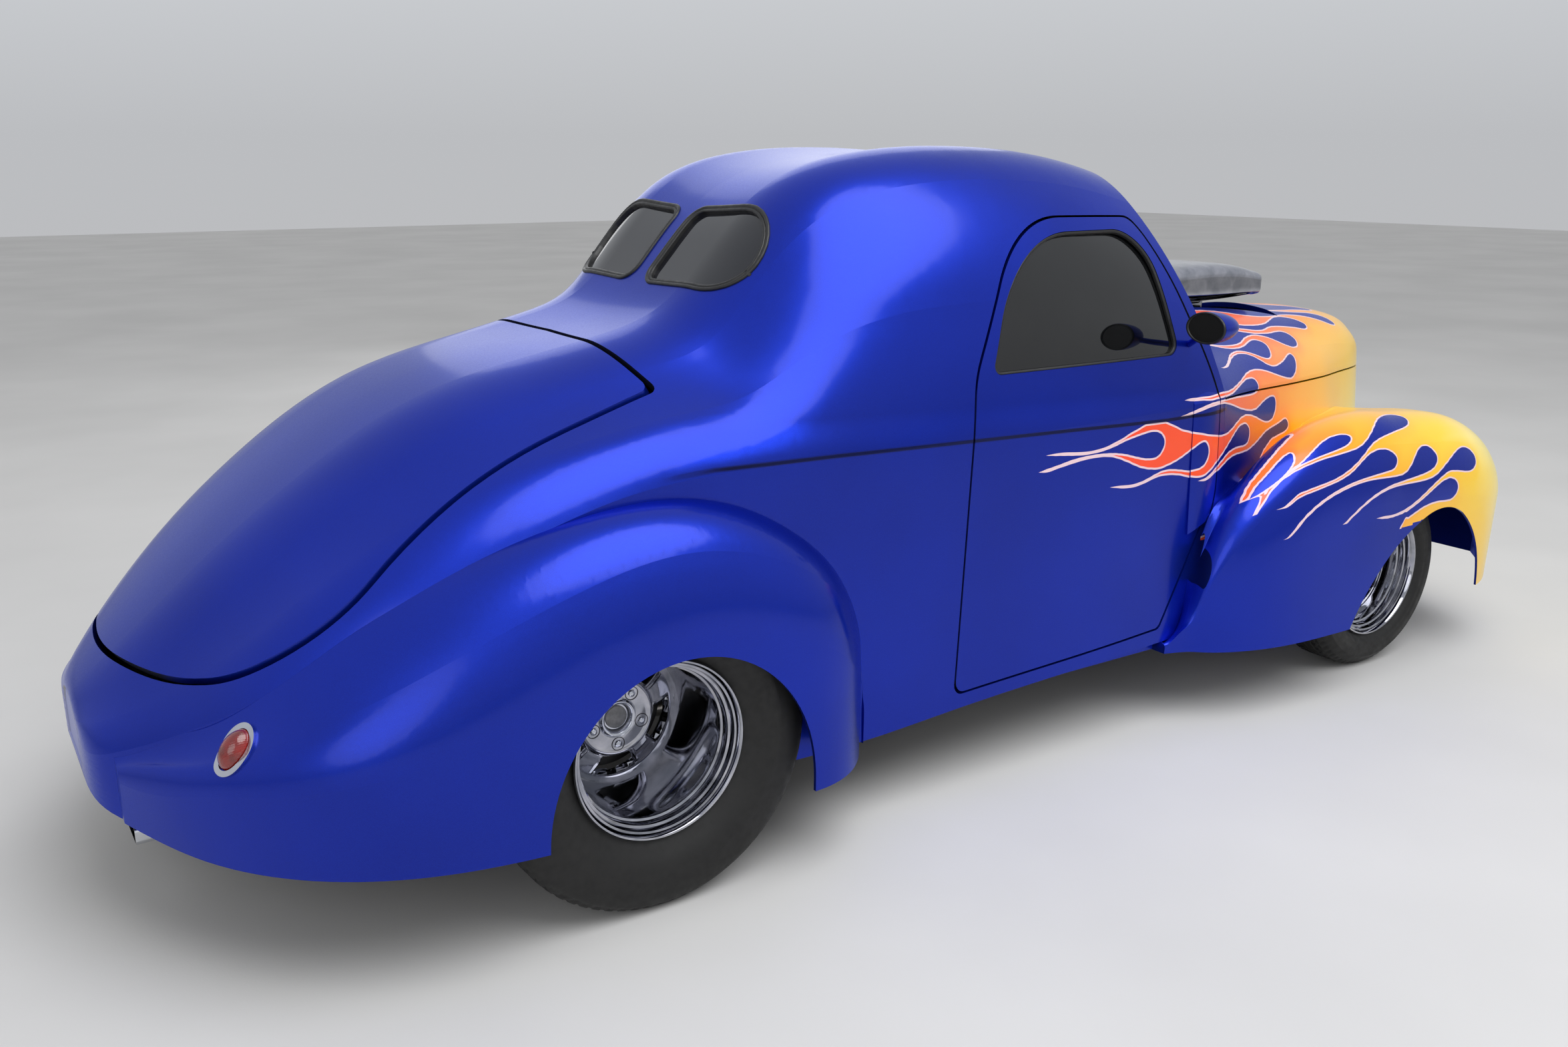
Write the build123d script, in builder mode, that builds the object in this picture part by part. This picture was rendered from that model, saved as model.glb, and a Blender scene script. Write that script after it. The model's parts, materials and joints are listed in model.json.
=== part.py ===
"""Chopped-fender coupe hot rod, millimetres, X forward, Y to the left, Z up.

The origin lies on the ground under the middle of the bounding box. Every station in the
tables is measured forward of the rear axle on the reference drawing.
"""
import os
from collections import namedtuple
from math import atan2, cos, degrees, radians, sin, sqrt

from build123d import *

os.makedirs("parts", exist_ok=True)

# Driving dimensions
WHEELBASE = 2642
TAIL_OVERHANG = 1046
NOSE_OVERHANG = 854
REAR_TRACK = 1260
FRONT_TRACK = 1350
REAR_TYRE_RADIUS = 376
REAR_TYRE_WIDTH = 390
FRONT_TYRE_RADIUS = 313
FRONT_TYRE_WIDTH = 190
RIM_RADIUS = 190.5
RIM_FLANGE = 16
RIM_WALL = 8
REAR_DISH = 215
FRONT_DISH = 70

# Sheet and panel thicknesses
BODY_WALL = 32
DOOR_WALL = 50
LID_WALL = 26
HOOD_WALL = 18
FENDER_WALL = 9
GLASS_WALL = 6
GLASS_DEPTH = 14

# Clearances
PANEL_GAP = 6
LID_GAP = 13
SEAT_GAP = 0.3
SPIN_GAP = 0.08
TYRE_ROOM = 34

# Reference drawing that the stations are measured on
REFERENCE_WHEELBASE = 2642
COWL_STATION = 1918
REAR_AXLE_X = -(WHEELBASE + NOSE_OVERHANG - TAIL_OVERHANG) / 2
FRONT_AXLE_X = REAR_AXLE_X + WHEELBASE
NOSE_STATION = 3496

# Wheel rooms, floor and rockers
WHEEL_ROOM_RADIUS = REAR_TYRE_RADIUS + TYRE_ROOM
TUB_INNER_Y = 392
TUB_SHEET = 5
FLOOR_BED = 285
FLOOR_SHEET = 8
ROCKER_Y = 560
ROCKER_OUTER = 642
ROCKER_EDGE = 672
ROCKER_LOW = 222
ROCKER_STEP = 254

# Side openings: door taper and the plane their outlines are drawn in
DOOR_TAPER = 10
OUTLINE_PLANE_Y = 720
OUTLINE_DEPTH = 330

# Deck lid: slope, reach of its cutter, arms and hinge pin
LID_SLOPE = 32.6
LID_HALF_OUTLINE = [(12, 0), (30, 512), (780, 612), (1282, 0)]
LID_CORNER_RADIUS = 30
LID_ABOVE = 250
LID_BELOW = 140
LID_ARM_Y = 150
LID_PIN_RADIUS = 6
LID_ARM_LINE = [(0, 0), (0, -120), (-60, -205), (-170, -205), (-245, -120), (-245, -34)]
LID_ARM_RADIUS = 8

# Hood seam, scoop slot and rear window slope
SEAM_REAR_Z = 937
SEAM_FALL = 0.0632
SCOOP_SLOT_HALF = 188
SCOOP_SLOT_FRONT = 2775
BACKLIGHT_SLOPE = 46

# Grille bars
GRILLE_OUTLINE = [(9, 430, 4), (9, 742, 4), (70, 742, 40), (150, 400, 60)]
GRILLE_BARS = 7
GRILLE_PITCH = 19
GRILLE_BAR = 8

# Headlamps
HEADLAMP_Y = 540
HEADLAMP_Z = 500
HEADLAMP_RADIUS = 76
RING_WIDE = 12
RING_PROUD = 5
LENS_WALL = 5

# Tail lamps: domes on the rear fenders
TAIL_LAMP_SPOT = (-812, 585, 500)
TAIL_LENS_LONG = 44
TAIL_LENS_WIDE = 30
TAIL_LENS_HIGH = 34

# Mirrors
MIRROR_SPOT = (1662, 795, 1172)
MIRROR_LONG = 105
MIRROR_WIDE = 66
MIRROR_HIGH = 43
MIRROR_ARM_RADIUS = 9

# Rear wheel opening: an ellipse
REAR_OPENING_X = 35
REAR_OPENING_Z = 240
REAR_OPENING_HALF = 326
REAR_OPENING_RISE = 362

# Wheels
REAR_CENTRE_Y = REAR_TRACK / 2
FRONT_CENTRE_Y = FRONT_TRACK / 2
REAR_RIM_HALF = 173
FRONT_RIM_HALF = 84
BEAD_SEAT = 34
REAR_STUB_RADIUS = 30
FRONT_STUB_RADIUS = 20
CAP_THICK = 9
STUB_SHORT = 2
SPOKES = 5
SPOKE_WIDTH = 62
SPOKE_THICK = 26
HUB_RADIUS = 74
TYRE_WALL = 14
REAR_HUB_DEPTH = 60
FRONT_HUB_DEPTH = 46

# Steering and front suspension
KINGPIN_Y = 614
KINGPIN_RADIUS = 12
BOSS_RADIUS = 26
BOSS_HALF = 60
YOKE_THICK = 16
ARM_SPREAD = 120
UPPER_SPREAD = 72

# Frame rails, rear axle and its bars
RAIL_INNER = 300
RAIL_OUTER = 355
AXLE_TUBE_RADIUS = 42
DIFF_RADIUS = 125
DRUM_RADIUS = 140
BAR_Y = 240
BAR_FRONT = 605.6
BAR_FRONT_Z = 254
BAR_RADIUS = 13

# Engine, blower, scoop and exhaust
SCOOP_REAR = 2036
SCOOP_SHEET = 5
NECK_TOP = 1140
PIPE_RADIUS = 28

# Seats and steering wheel
SEAT_Y = 305
SEAT_HALF = 235
COLUMN_TOP = (1560, 305, 1000)
COLUMN_FOOT = (1792, 305, 925)
STEERING_RADIUS = 175
STEERING_GRIP = 12


def along(station):
    """Place of a station: the cab keeps its length, the hood takes up the wheelbase."""
    if station <= COWL_STATION:
        return REAR_AXLE_X + station
    if station <= REFERENCE_WHEELBASE:
        share = (station - COWL_STATION) / (REFERENCE_WHEELBASE - COWL_STATION)
        return REAR_AXLE_X + COWL_STATION + share * (WHEELBASE - COWL_STATION)
    share = (station - REFERENCE_WHEELBASE) / (NOSE_STATION - REFERENCE_WHEELBASE)
    return FRONT_AXLE_X + share * NOSE_OVERHANG


# Cab and deck: half sections from the roof's centre to the sill.
# shoulder and belt give a point of the section and how steeply it falls there.
Cab = namedtuple(
    "Cab", "station top shoulder_y shoulder_z shoulder_fall belt_y belt_z belt_fall sill_y sill_z"
)
CAB = [
    Cab(-1046, 470, 50, 464, 20, 90, 420, 80, 88, 345),
    Cab(-1000, 553, 170, 520, 30, 295, 430, 70, 292, 280),
    Cab(-880, 680, 290, 620, 34, 440, 500, 62, 450, 260),
    Cab(-750, 800, 345, 738, 32, 575, 596, 58, 590, 260),
    Cab(-600, 915, 385, 855, 30, 640, 706, 56, 655, 260),
    Cab(-300, 1090, 420, 1032, 28, 690, 838, 66, 694, 255),
    Cab(0, 1168, 440, 1108, 30, 702, 924, 74, 702, 240),
    Cab(180, 1200, 445, 1146, 33, 703, 940, 78, 703, 225),
    Cab(330, 1262, 445, 1190, 40, 703, 945, 80, 703, 213),
    Cab(500, 1437, 452, 1358, 45, 703, 942, 84, 703, 208),
    Cab(650, 1548, 475, 1480, 45, 703, 938, 85, 703, 209),
    Cab(850, 1606, 492, 1540, 45, 701, 935, 87, 701, 219),
    Cab(1150, 1625, 500, 1556, 45, 698, 930, 87, 700, 233),
    Cab(1500, 1610, 488, 1526, 45, 692, 930, 87, 699, 243),
    Cab(1760, 1560, 478, 1462, 45, 680, 930, 86, 692, 250),
    Cab(1918, 1505, 466, 1402, 45, 664, 930, 86, 686, 254),
    Cab(2040, 1440, 440, 1330, 45, 612, 930, 84, 650, 256),
]

# Cowl, hood and nose: the section ends on the fender seam, and at the nose closes below
HOOD = [
    Cab(1780, 1158, 470, 1100, 30, 680, 938, 72, 692, 560),
    Cab(1918, 1152, 428, 1096, 30, 664, 941, 72, 688, 620),
    Cab(2121, 1147, 385, 1091, 32, 580, 936, 74, 622, 680),
    Cab(2400, 1137, 325, 1078, 34, 487, 919, 75, 522, 700),
    Cab(2650, 1120, 262, 1064, 36, 404, 904, 76, 434, 700),
    Cab(2900, 1098, 195, 1044, 39, 313, 890, 78, 344, 640),
    Cab(3100, 1078, 145, 1028, 41, 226, 879, 80, 262, 540),
    Cab(3260, 1050, 100, 1006, 42, 160, 868, 81, 205, 420),
    Cab(3380, 1012, 62, 975, 42, 104, 858, 82, 160, 320),
    Cab(3460, 958, 32, 932, 42, 56, 850, 84, 86, 440),
    Cab(3496, 880, 8, 870, 42, 14, 842, 86, 20, 700),
]

# Rear fender: seam on the body, widest point, lower edge
Arch = namedtuple("Arch", "station seam_y seam_z seam_rise wide_y wide_z edge_y edge_z")
REAR_FENDER = [
    Arch(-1000, 285, 436, -72, 340, 380, 328, 285),
    Arch(-880, 440, 500, -52, 562, 410, 550, 262),
    Arch(-750, 575, 596, -40, 718, 440, 705, 258),
    Arch(-600, 640, 706, -34, 812, 470, 802, 255),
    Arch(-450, 668, 786, -24, 852, 510, 847, 250),
    Arch(-200, 695, 874, -8, 871, 590, 866, 242),
    Arch(50, 701, 904, 0, 875, 640, 870, 232),
    Arch(250, 702, 866, -3, 873, 610, 868, 215),
    Arch(400, 702, 785, -9, 862, 550, 858, 207),
    Arch(500, 702, 699, -24, 820, 470, 816, 206),
    Arch(575, 702, 570, -48, 744, 380, 740, 206),
    Arch(612, 702, 330, -70, 709, 280, 708, 206),
]

# Front fender: seam on the body or hood, crest, widest point, lower edge
Wing = namedtuple("Wing", "station seam_y seam_z seam_rise crest_y crest_z wide_y wide_z edge_y edge_z")
FRONT_FENDER = [
    Wing(1704, 690, 256, -60, 700, 242, 707, 228, 706, 214),
    Wing(1800, 688, 418, -20, 712, 408, 752, 310, 749, 213),
    Wing(1909, 686, 640, -5, 722, 634, 816, 430, 812, 212),
    Wing(2000, 655, 662, 22, 728, 715, 843, 500, 839, 211),
    Wing(2120, 618, 684, 38, 729, 784, 860, 545, 857, 210),
    Wing(2300, 562, 706, 40, 727, 838, 869, 575, 866, 210),
    Wing(2550, 472, 740, 30, 720, 848, 871, 590, 868, 210),
    Wing(2800, 378, 756, 18, 708, 822, 869, 575, 864, 212),
    Wing(3000, 305, 750, 10, 690, 786, 861, 545, 853, 214),
    Wing(3150, 243, 720, 4, 658, 730, 832, 515, 822, 216),
    Wing(3270, 208, 650, 2, 620, 656, 768, 490, 758, 224),
    Wing(3350, 192, 560, 2, 570, 568, 680, 455, 668, 250),
    Wing(3398, 180, 448, 3, 480, 456, 540, 410, 530, 320),
]


def tangent_pair(start, start_deg, end, end_deg):
    """Two arcs that meet smoothly, leaving start and reaching end at the given angles."""
    a = Vector(cos(radians(start_deg)), sin(radians(start_deg)))
    b = Vector(cos(radians(end_deg)), sin(radians(end_deg)))
    chord = Vector(*end) - Vector(*start)
    lean = chord.dot(a + b)
    bend = 2 * (1 - a.dot(b))
    square = chord.dot(chord)
    if bend < 1e-9:
        reach = square / (2 * lean)
    else:
        reach = (sqrt(lean * lean + bend * square) - lean) / bend
    middle = (Vector(*start) + a * reach + Vector(*end) - b * reach) * 0.5
    TangentArc(start, middle, tangent=a)
    TangentArc(end, middle, tangent=b * -1)


def half_section(plane, points, centre_low):
    """Closed half section: smooth arcs through (y, z, angle) points, then down to the floor."""
    with BuildSketch(plane) as sketch:
        with BuildLine():
            for here, there in zip(points, points[1:]):
                if here[2] is None or there[2] is None:
                    Line(here[:2], there[:2])
                else:
                    tangent_pair(here[:2], here[2], there[:2], there[2])
            Line(points[-1][:2], (centre_low[0], points[-1][1]))
            Line((centre_low[0], points[-1][1]), (centre_low[0], points[0][1]))
            if abs(points[0][0] - centre_low[0]) > 0.01:
                Line((centre_low[0], points[0][1]), points[0][:2])
        make_face()
    return sketch.sketch.faces()[0]


def cross_plane(x):
    """Sketch plane across the car at x, drawn in (y, z)."""
    return Plane(origin=(x, 0, 0), x_dir=(0, 1, 0), z_dir=(1, 0, 0))


def cab_points(row, wall, drop):
    """Half section of the cab or hood, moved inwards by a wall."""
    sf, bf = radians(row.shoulder_fall), radians(row.belt_fall)
    return [
        (0, row.top - wall, 0),
        (row.shoulder_y - wall * sin(sf), row.shoulder_z - wall * cos(sf), -row.shoulder_fall),
        (row.belt_y - wall * sin(bf), row.belt_z - wall * cos(bf), -row.belt_fall),
        (row.sill_y - wall, row.sill_z - drop, None),
    ]


def cab_loft(rows, wall=0.0, drop=0.0, shift=0.0):
    """Left half of the cab or hood as a solid; shift moves the two end stations inwards."""
    faces = []
    for number, row in enumerate(rows):
        x = along(row.station)
        if number == 0:
            x += shift
        if number == len(rows) - 1:
            x -= shift
        faces.append(half_section(cross_plane(x), cab_points(row, wall, drop), (0, 0)))
    return faces


def arch_faces(rows, wall=0.0, drop=0.0, inner=70.0):
    faces = []
    for row in rows:
        sr = radians(row.seam_rise)
        points = [
            (row.seam_y + wall * sin(sr), row.seam_z - wall * cos(sr), row.seam_rise),
            (row.wide_y - wall, row.wide_z, -90),
            (row.edge_y - wall, row.edge_z - drop, None),
        ]
        faces.append(half_section(cross_plane(along(row.station)), points, (row.seam_y - inner, 0)))
    return faces


def wing_faces(rows, wall=0.0, drop=0.0, inner=60.0):
    faces = []
    for row in rows:
        sr = radians(row.seam_rise)
        points = [
            (row.seam_y + wall * sin(sr), row.seam_z - wall * cos(sr), row.seam_rise),
            (row.crest_y, row.crest_z - wall, 0),
            (row.wide_y - wall, row.wide_z, -90),
            (row.edge_y - wall, row.edge_z - drop, None),
        ]
        faces.append(half_section(cross_plane(along(row.station)), points, (row.seam_y - inner, 0)))
    return faces


def solid_from(faces):
    with BuildPart() as form:
        loft(faces)
    return form.part


def side_plane(y, facing=-1):
    """Sketch plane along the car at y, drawn in (x, z), its normal towards the middle."""
    return Plane(origin=(0, y, 0), x_dir=(1, 0, 0), z_dir=(0, facing, 0))


def side_prism(points, radii, y_from, depth, taper=0.0):
    """Solid from an (x, z) outline at y_from, extruded towards the middle of the car."""
    with BuildPart() as prism:
        with BuildSketch(side_plane(y_from)):
            with BuildLine():
                FilletPolyline(points, radius=radii, close=True)
            make_face()
        extrude(amount=depth, taper=taper)
    return prism.part


def block(x0, x1, y0, y1, z0, z1):
    """Plain box between two corners."""
    with BuildPart() as box:
        with Locations(((x0 + x1) / 2, (y0 + y1) / 2, (z0 + z1) / 2)):
            Box(x1 - x0, y1 - y0, z1 - z0)
    return box.part


def y_cylinder(x, z, radius, y0, y1):
    """Cylinder across the car between y0 and y1."""
    with BuildPart() as drum:
        with BuildSketch(Plane(origin=(x, y0, z), x_dir=(1, 0, 0), z_dir=(0, 1, 0))):
            Circle(radius)
        extrude(amount=y1 - y0)
    return drum.part


def grown(points, step):
    """Outline with every point moved away from the middle by a step each way."""
    mid_x = sum(p[0] for p in points) / len(points)
    mid_z = sum(p[1] for p in points) / len(points)
    out = []
    for x, z in points:
        out.append((x + step * (1 if x > mid_x else -1), z + step * (1 if z > mid_z else -1)))
    return out


def save(node, name, colour):
    node.label = name
    node.color = Color(colour)
    export_step(node, f"parts/{name}.step")


def save_pair(left, name, colour):
    """Write the left piece and its mirror image."""
    save(left, f"{name}_left", colour)
    save(mirror(left, about=Plane.XZ), f"{name}_right", colour)


def both_sides(left):
    """One part from the left half and its mirror image."""
    with BuildPart() as whole:
        add(left)
        mirror(about=Plane.XZ)
    return whole.part


# Main forms, left half
cab_outer = solid_from(cab_loft(CAB))
cab_inner = solid_from(cab_loft(CAB[1:], BODY_WALL, 60, BODY_WALL))
door_inner = solid_from(cab_loft(CAB[8:], DOOR_WALL, 60))
hood_outer = solid_from(cab_loft(HOOD))
hood_inner = solid_from(cab_loft(HOOD[:-1], HOOD_WALL, 80, HOOD_WALL))

# Openings of the side, in (x, z), each row a corner and its radius
DOOR_OUTLINE = [
    (903, 257, 30),
    (948, 1090, 260),
    (1120, 1492, 300),
    (1662, 1492, 95),
    (1800, 1185, 300),
    (1918, 945, 60),
    (1899, 645, 300),
    (1690, 285, 25),
]
WINDOW_OUTLINE = [
    (1012, 1086, 22),
    (1118, 1425, 300),
    (1640, 1424, 150),
    (1722, 1082, 34),
]


def outline(rows, step=0.0):
    points = [(along(x), z) for x, z, r in rows]
    if step:
        points = grown(points, step)
    return points, [r for x, z, r in rows]


door_points, door_radii = outline(DOOR_OUTLINE)
door_hole = side_prism(door_points, door_radii, OUTLINE_PLANE_Y, OUTLINE_DEPTH, DOOR_TAPER)
slab_points = outline(DOOR_OUTLINE, -PANEL_GAP)[0]
door_slab = side_prism(slab_points, door_radii, OUTLINE_PLANE_Y, OUTLINE_DEPTH, DOOR_TAPER)
window_points, window_radii = outline(WINDOW_OUTLINE)
window_hole = side_prism(window_points, window_radii, OUTLINE_PLANE_Y, OUTLINE_DEPTH)

# Windscreen: one flat pane each side of a middle post, leaning back and swept back
SCREEN_BASE = Vector(along(2010), 0, 1140)
SCREEN_NORMAL = Vector(0.839, 0.2164, 0.4994)
SCREEN_ACROSS = Vector(-0.2497, 0.9683, 0)
SCREEN_OUTLINE = [
    (20, 26, 25),
    (74, 446, 30),
    (330, 424, 200),
    (522, 372, 70),
    (590, 12, 50),
]


def screen_plane(depth):
    return Plane(origin=SCREEN_BASE - SCREEN_NORMAL * depth, x_dir=SCREEN_ACROSS, z_dir=SCREEN_NORMAL)


def screen_slab(depth, height, step=0.0):
    points = [(u, v) for u, v, r in SCREEN_OUTLINE]
    if step:
        points = grown(points, -step)
    with BuildPart() as slab:
        with BuildSketch(screen_plane(depth)):
            with BuildLine():
                FilletPolyline(points, radius=[r for u, v, r in SCREEN_OUTLINE], close=True)
            make_face()
        extrude(amount=height)
    return slab.part


def ahead_of_screen(depth):
    with BuildPart() as ahead:
        with BuildSketch(screen_plane(depth)):
            with Locations((300, 500)):
                Rectangle(1800, 1300)
        extrude(amount=700)
    return ahead.part


# Hood line: rear edge in plan and in side view, and the seam with the sides


def seam_z(x):
    return SEAM_REAR_Z - SEAM_FALL * (x - along(COWL_STATION))


def hood_space(gap):
    """Region ahead of the cowl line that the hood and the nose sides fill."""
    x_door = along(1938) + gap
    with BuildPart() as space:
        with BuildSketch(side_plane(800)):
            with BuildLine():
                Polyline(
                    (x_door, 560),
                    (x_door, 938),
                    (along(1928) + gap, 964),
                    (along(1886) + gap, 1050),
                    (along(1860) + gap, 1112),
                    (along(1860) + gap, 1300),
                    (along(3496) + 40, 1300),
                    (along(3496) + 40, 240),
                    (along(2100), 240),
                    (along(2100), 560),
                    close=True,
                )
            make_face()
        extrude(amount=801)
        with BuildSketch(Plane.XY.offset(940)):
            with BuildLine():
                Polyline(
                    (along(1700), -1),
                    (along(2034) + gap, -1),
                    (along(1850) + gap, 664),
                    (along(1700), 664),
                    close=True,
                )
            make_face()
        extrude(amount=400, mode=Mode.SUBTRACT)
    return space.part


def above_seam(step):
    with BuildPart() as above:
        with BuildSketch(side_plane(800)):
            with BuildLine():
                x0, x1 = along(1800), along(3496) + 60
                Polyline(
                    (x0, seam_z(x0) + step), (x1, seam_z(x1) + step), (x1, 1400), (x0, 1400), close=True
                )
            make_face()
        extrude(amount=801)
    return above.part


# Deck lid: outline in a plane parallel to the deck, u down the deck and v across
LID_PLANE_ORIGIN = Vector(along(150), 0, 1190)


def lid_prism(step):
    slope = radians(LID_SLOPE)
    normal = Vector(-sin(slope), 0, cos(slope))
    top, corner, wide, tip = LID_HALF_OUTLINE
    lift = LID_PLANE_ORIGIN + normal * LID_ABOVE
    plane = Plane(origin=lift, x_dir=(-cos(slope), 0, -sin(slope)), z_dir=normal * -1)
    top, corner = (top[0] - step, 0), (corner[0] - step, corner[1] + step)
    wide, tip = (wide[0], wide[1] + step), (tip[0] + step, 0)
    with BuildPart() as prism:
        with BuildSketch(plane):
            with BuildLine():
                side = degrees(atan2(wide[1] - corner[1], wide[0] - corner[0]))
                FilletPolyline(top, corner, wide, radius=LID_CORNER_RADIUS)
                tangent_pair(wide, side, tip, -90)
                Line(tip, top)
            make_face()
        extrude(amount=LID_ABOVE + LID_BELOW)
    return prism.part


# Rear windows: a pair of rounded panes leaning with the back of the cab
BACKLIGHT_OUTLINE = [
    (0, 40, 45),
    (10, 390, 120),
    (262, 470, 130),
    (240, 44, 45),
]
BACKLIGHT_BASE = Vector(along(385), 0, 1300)


def backlight_prism(step, depth):
    slope = radians(BACKLIGHT_SLOPE)
    normal = Vector(-sin(slope), 0, cos(slope))
    plane = Plane(origin=BACKLIGHT_BASE + normal * depth, x_dir=(cos(slope), 0, sin(slope)), z_dir=normal)
    points = [(u, v) for u, v, r in BACKLIGHT_OUTLINE]
    if step:
        points = grown(points, -step)
    with BuildPart() as prism:
        with BuildSketch(plane):
            with BuildLine():
                FilletPolyline(points, radius=[r for u, v, r in BACKLIGHT_OUTLINE], close=True)
            make_face()
        extrude(amount=400)
    return prism.part


def tube(start, end, radius):
    """Round bar between two points."""
    start, end = Vector(*start), Vector(*end)
    with BuildPart() as bar:
        with BuildSketch(Plane(origin=start, z_dir=(end - start).normalized())):
            Circle(radius)
        extrude(amount=(end - start).length)
    return bar.part


def rounded_block(x0, x1, y0, y1, z0, z1, radius):
    """Box with its upright edges rounded."""
    with BuildPart() as box:
        with BuildSketch(Plane.XY.offset(z0)):
            with Locations(((x0 + x1) / 2, (y0 + y1) / 2)):
                RectangleRounded(x1 - x0, y1 - y0, radius)
        extrude(amount=z1 - z0)
    return box.part


def spin(points, y_centre, x, z):
    """Ring turned about the wheel's axle from (radius, y) points."""
    with BuildPart() as ring:
        with BuildSketch(Plane(origin=(x, y_centre, z), x_dir=(0, 0, 1), z_dir=(-1, 0, 0))):
            with BuildLine():
                Polyline(points, close=True)
            make_face()
        revolve(axis=Axis((x, y_centre, z), (0, 1, 0)))
    return ring.part


# Skins, left half
with BuildPart() as body_skin:
    add(cab_outer)
    add(ahead_of_screen(0), mode=Mode.SUBTRACT)
    add(hood_outer)
    add(hood_space(0), mode=Mode.SUBTRACT)

with BuildPart() as cabin_space:
    add(cab_inner)
    add(ahead_of_screen(BODY_WALL), mode=Mode.SUBTRACT)
    add(hood_space(-BODY_WALL), mode=Mode.SUBTRACT)

with BuildPart() as cabin_fill:
    add(solid_from(cab_loft(CAB[1:], BODY_WALL + SEAT_GAP, 60, BODY_WALL + SEAT_GAP)))
    add(ahead_of_screen(BODY_WALL + SEAT_GAP), mode=Mode.SUBTRACT)
    add(hood_space(-BODY_WALL - SEAT_GAP), mode=Mode.SUBTRACT)

tub_room = y_cylinder(REAR_AXLE_X, REAR_TYRE_RADIUS, WHEEL_ROOM_RADIUS, TUB_INNER_Y, 900)

lid_pin = (along(300), LID_ARM_Y, 1192)

# Body shell
with BuildPart() as body_half:
    add(body_skin.part)
    add(cabin_space.part, mode=Mode.SUBTRACT)
    add(door_hole, mode=Mode.SUBTRACT)
    add(lid_prism(0), mode=Mode.SUBTRACT)
    add(backlight_prism(0, -200), mode=Mode.SUBTRACT)
    add(screen_slab(60, 90), mode=Mode.SUBTRACT)
    add(tub_room, mode=Mode.SUBTRACT)
    rail_notch = block(
        along(1960), along(2060), RAIL_INNER - SEAT_GAP, RAIL_OUTER + SEAT_GAP, 200, FLOOR_BED + SEAT_GAP
    )
    add(rail_notch, mode=Mode.SUBTRACT)
    add(block(along(880), along(1690), ROCKER_Y, ROCKER_EDGE, ROCKER_LOW, ROCKER_STEP))
    add(block(along(880), along(1690), ROCKER_Y, ROCKER_OUTER, ROCKER_STEP, FLOOR_BED))
    for y in (LID_ARM_Y - 11, LID_ARM_Y + 11):
        add(block(lid_pin[0] - 12, lid_pin[0] + 12, y - 2.5, y + 2.5, lid_pin[2] - 10, lid_pin[2] + 30))
    add(y_cylinder(lid_pin[0], lid_pin[2], LID_PIN_RADIUS, LID_ARM_Y - 12, LID_ARM_Y + 12))
body_shell = both_sides(body_half.part)
save(body_shell, "body_shell", "blue")

# Floor: flat under the seats, raised over the axle and in the trunk
FLOOR_TOP = FLOOR_BED + SEAT_GAP + FLOOR_SHEET
FLOOR_LINE = [(2006, FLOOR_TOP), (560, FLOOR_TOP), (430, 545), (-380, 545), (-560, 440), (-985, 440)]
with BuildPart() as floor_half:
    with BuildSketch(side_plane(690)):
        with BuildLine():
            upper = [(along(x), z) for x, z in FLOOR_LINE]
            lower = [(x, z - FLOOR_SHEET) for x, z in reversed(upper)]
            Polyline(upper + lower, close=True)
        make_face()
    extrude(amount=690)
    add(cabin_fill.part, mode=Mode.INTERSECT)
    add(tub_room, mode=Mode.SUBTRACT)
    add(block(along(860), along(1960), ROCKER_OUTER, 700, 200, 400), mode=Mode.SUBTRACT)
floor_pan = both_sides(floor_half.part)
save(floor_pan, "floor_pan", "gray")

# Wheel tubs inside the body
tub_hollow = y_cylinder(
    REAR_AXLE_X, REAR_TYRE_RADIUS, WHEEL_ROOM_RADIUS - TUB_SHEET, TUB_INNER_Y + TUB_SHEET, 700
)
with BuildPart() as tub_half:
    add(y_cylinder(REAR_AXLE_X, REAR_TYRE_RADIUS, WHEEL_ROOM_RADIUS - SEAT_GAP, TUB_INNER_Y + SEAT_GAP, 690))
    add(tub_hollow, mode=Mode.SUBTRACT)
    add(cabin_fill.part, mode=Mode.INTERSECT)
    add(block(REAR_AXLE_X - 500, REAR_AXLE_X + 500, 300, 700, 0, 300), mode=Mode.SUBTRACT)
    add(block(REAR_AXLE_X - 70, REAR_AXLE_X + 70, 300, 420, 0, 470), mode=Mode.SUBTRACT)
wheel_tubs = both_sides(tub_half.part)
save(wheel_tubs, "wheel_tubs", "gray")

# Door and its glass
with BuildPart() as door:
    add(body_skin.part)
    add(door_slab, mode=Mode.INTERSECT)
    add(door_inner, mode=Mode.SUBTRACT)
    add(window_hole, mode=Mode.SUBTRACT)
save_pair(door.part, "door", "blue")

glass_front = solid_from(cab_loft(CAB[8:-1], GLASS_DEPTH, 60))
glass_back = solid_from(cab_loft(CAB[8:-1], GLASS_DEPTH + GLASS_WALL, 60))
glass_points = outline(WINDOW_OUTLINE, -SEAT_GAP)[0]
with BuildPart() as door_glass:
    add(glass_front)
    add(glass_back, mode=Mode.SUBTRACT)
    add(side_prism(glass_points, window_radii, OUTLINE_PLANE_Y, OUTLINE_DEPTH), mode=Mode.INTERSECT)
save_pair(door_glass.part, "door_glass", "gray")

# Windscreen and rear windows
with BuildPart() as screen_half:
    add(screen_slab(GLASS_DEPTH + GLASS_WALL, GLASS_WALL, SEAT_GAP))
windscreen = both_sides(screen_half.part)
save(windscreen, "windscreen", "gray")

backlight_outer = solid_from(cab_loft(CAB[6:12], GLASS_DEPTH, 60))
backlight_inner = solid_from(cab_loft(CAB[6:12], GLASS_DEPTH + GLASS_WALL, 60))
with BuildPart() as backlight_half:
    add(backlight_outer)
    add(backlight_inner, mode=Mode.SUBTRACT)
    add(backlight_prism(SEAT_GAP, -200), mode=Mode.INTERSECT)
rear_windows = both_sides(backlight_half.part)
save(rear_windows, "rear_windows", "gray")

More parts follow.
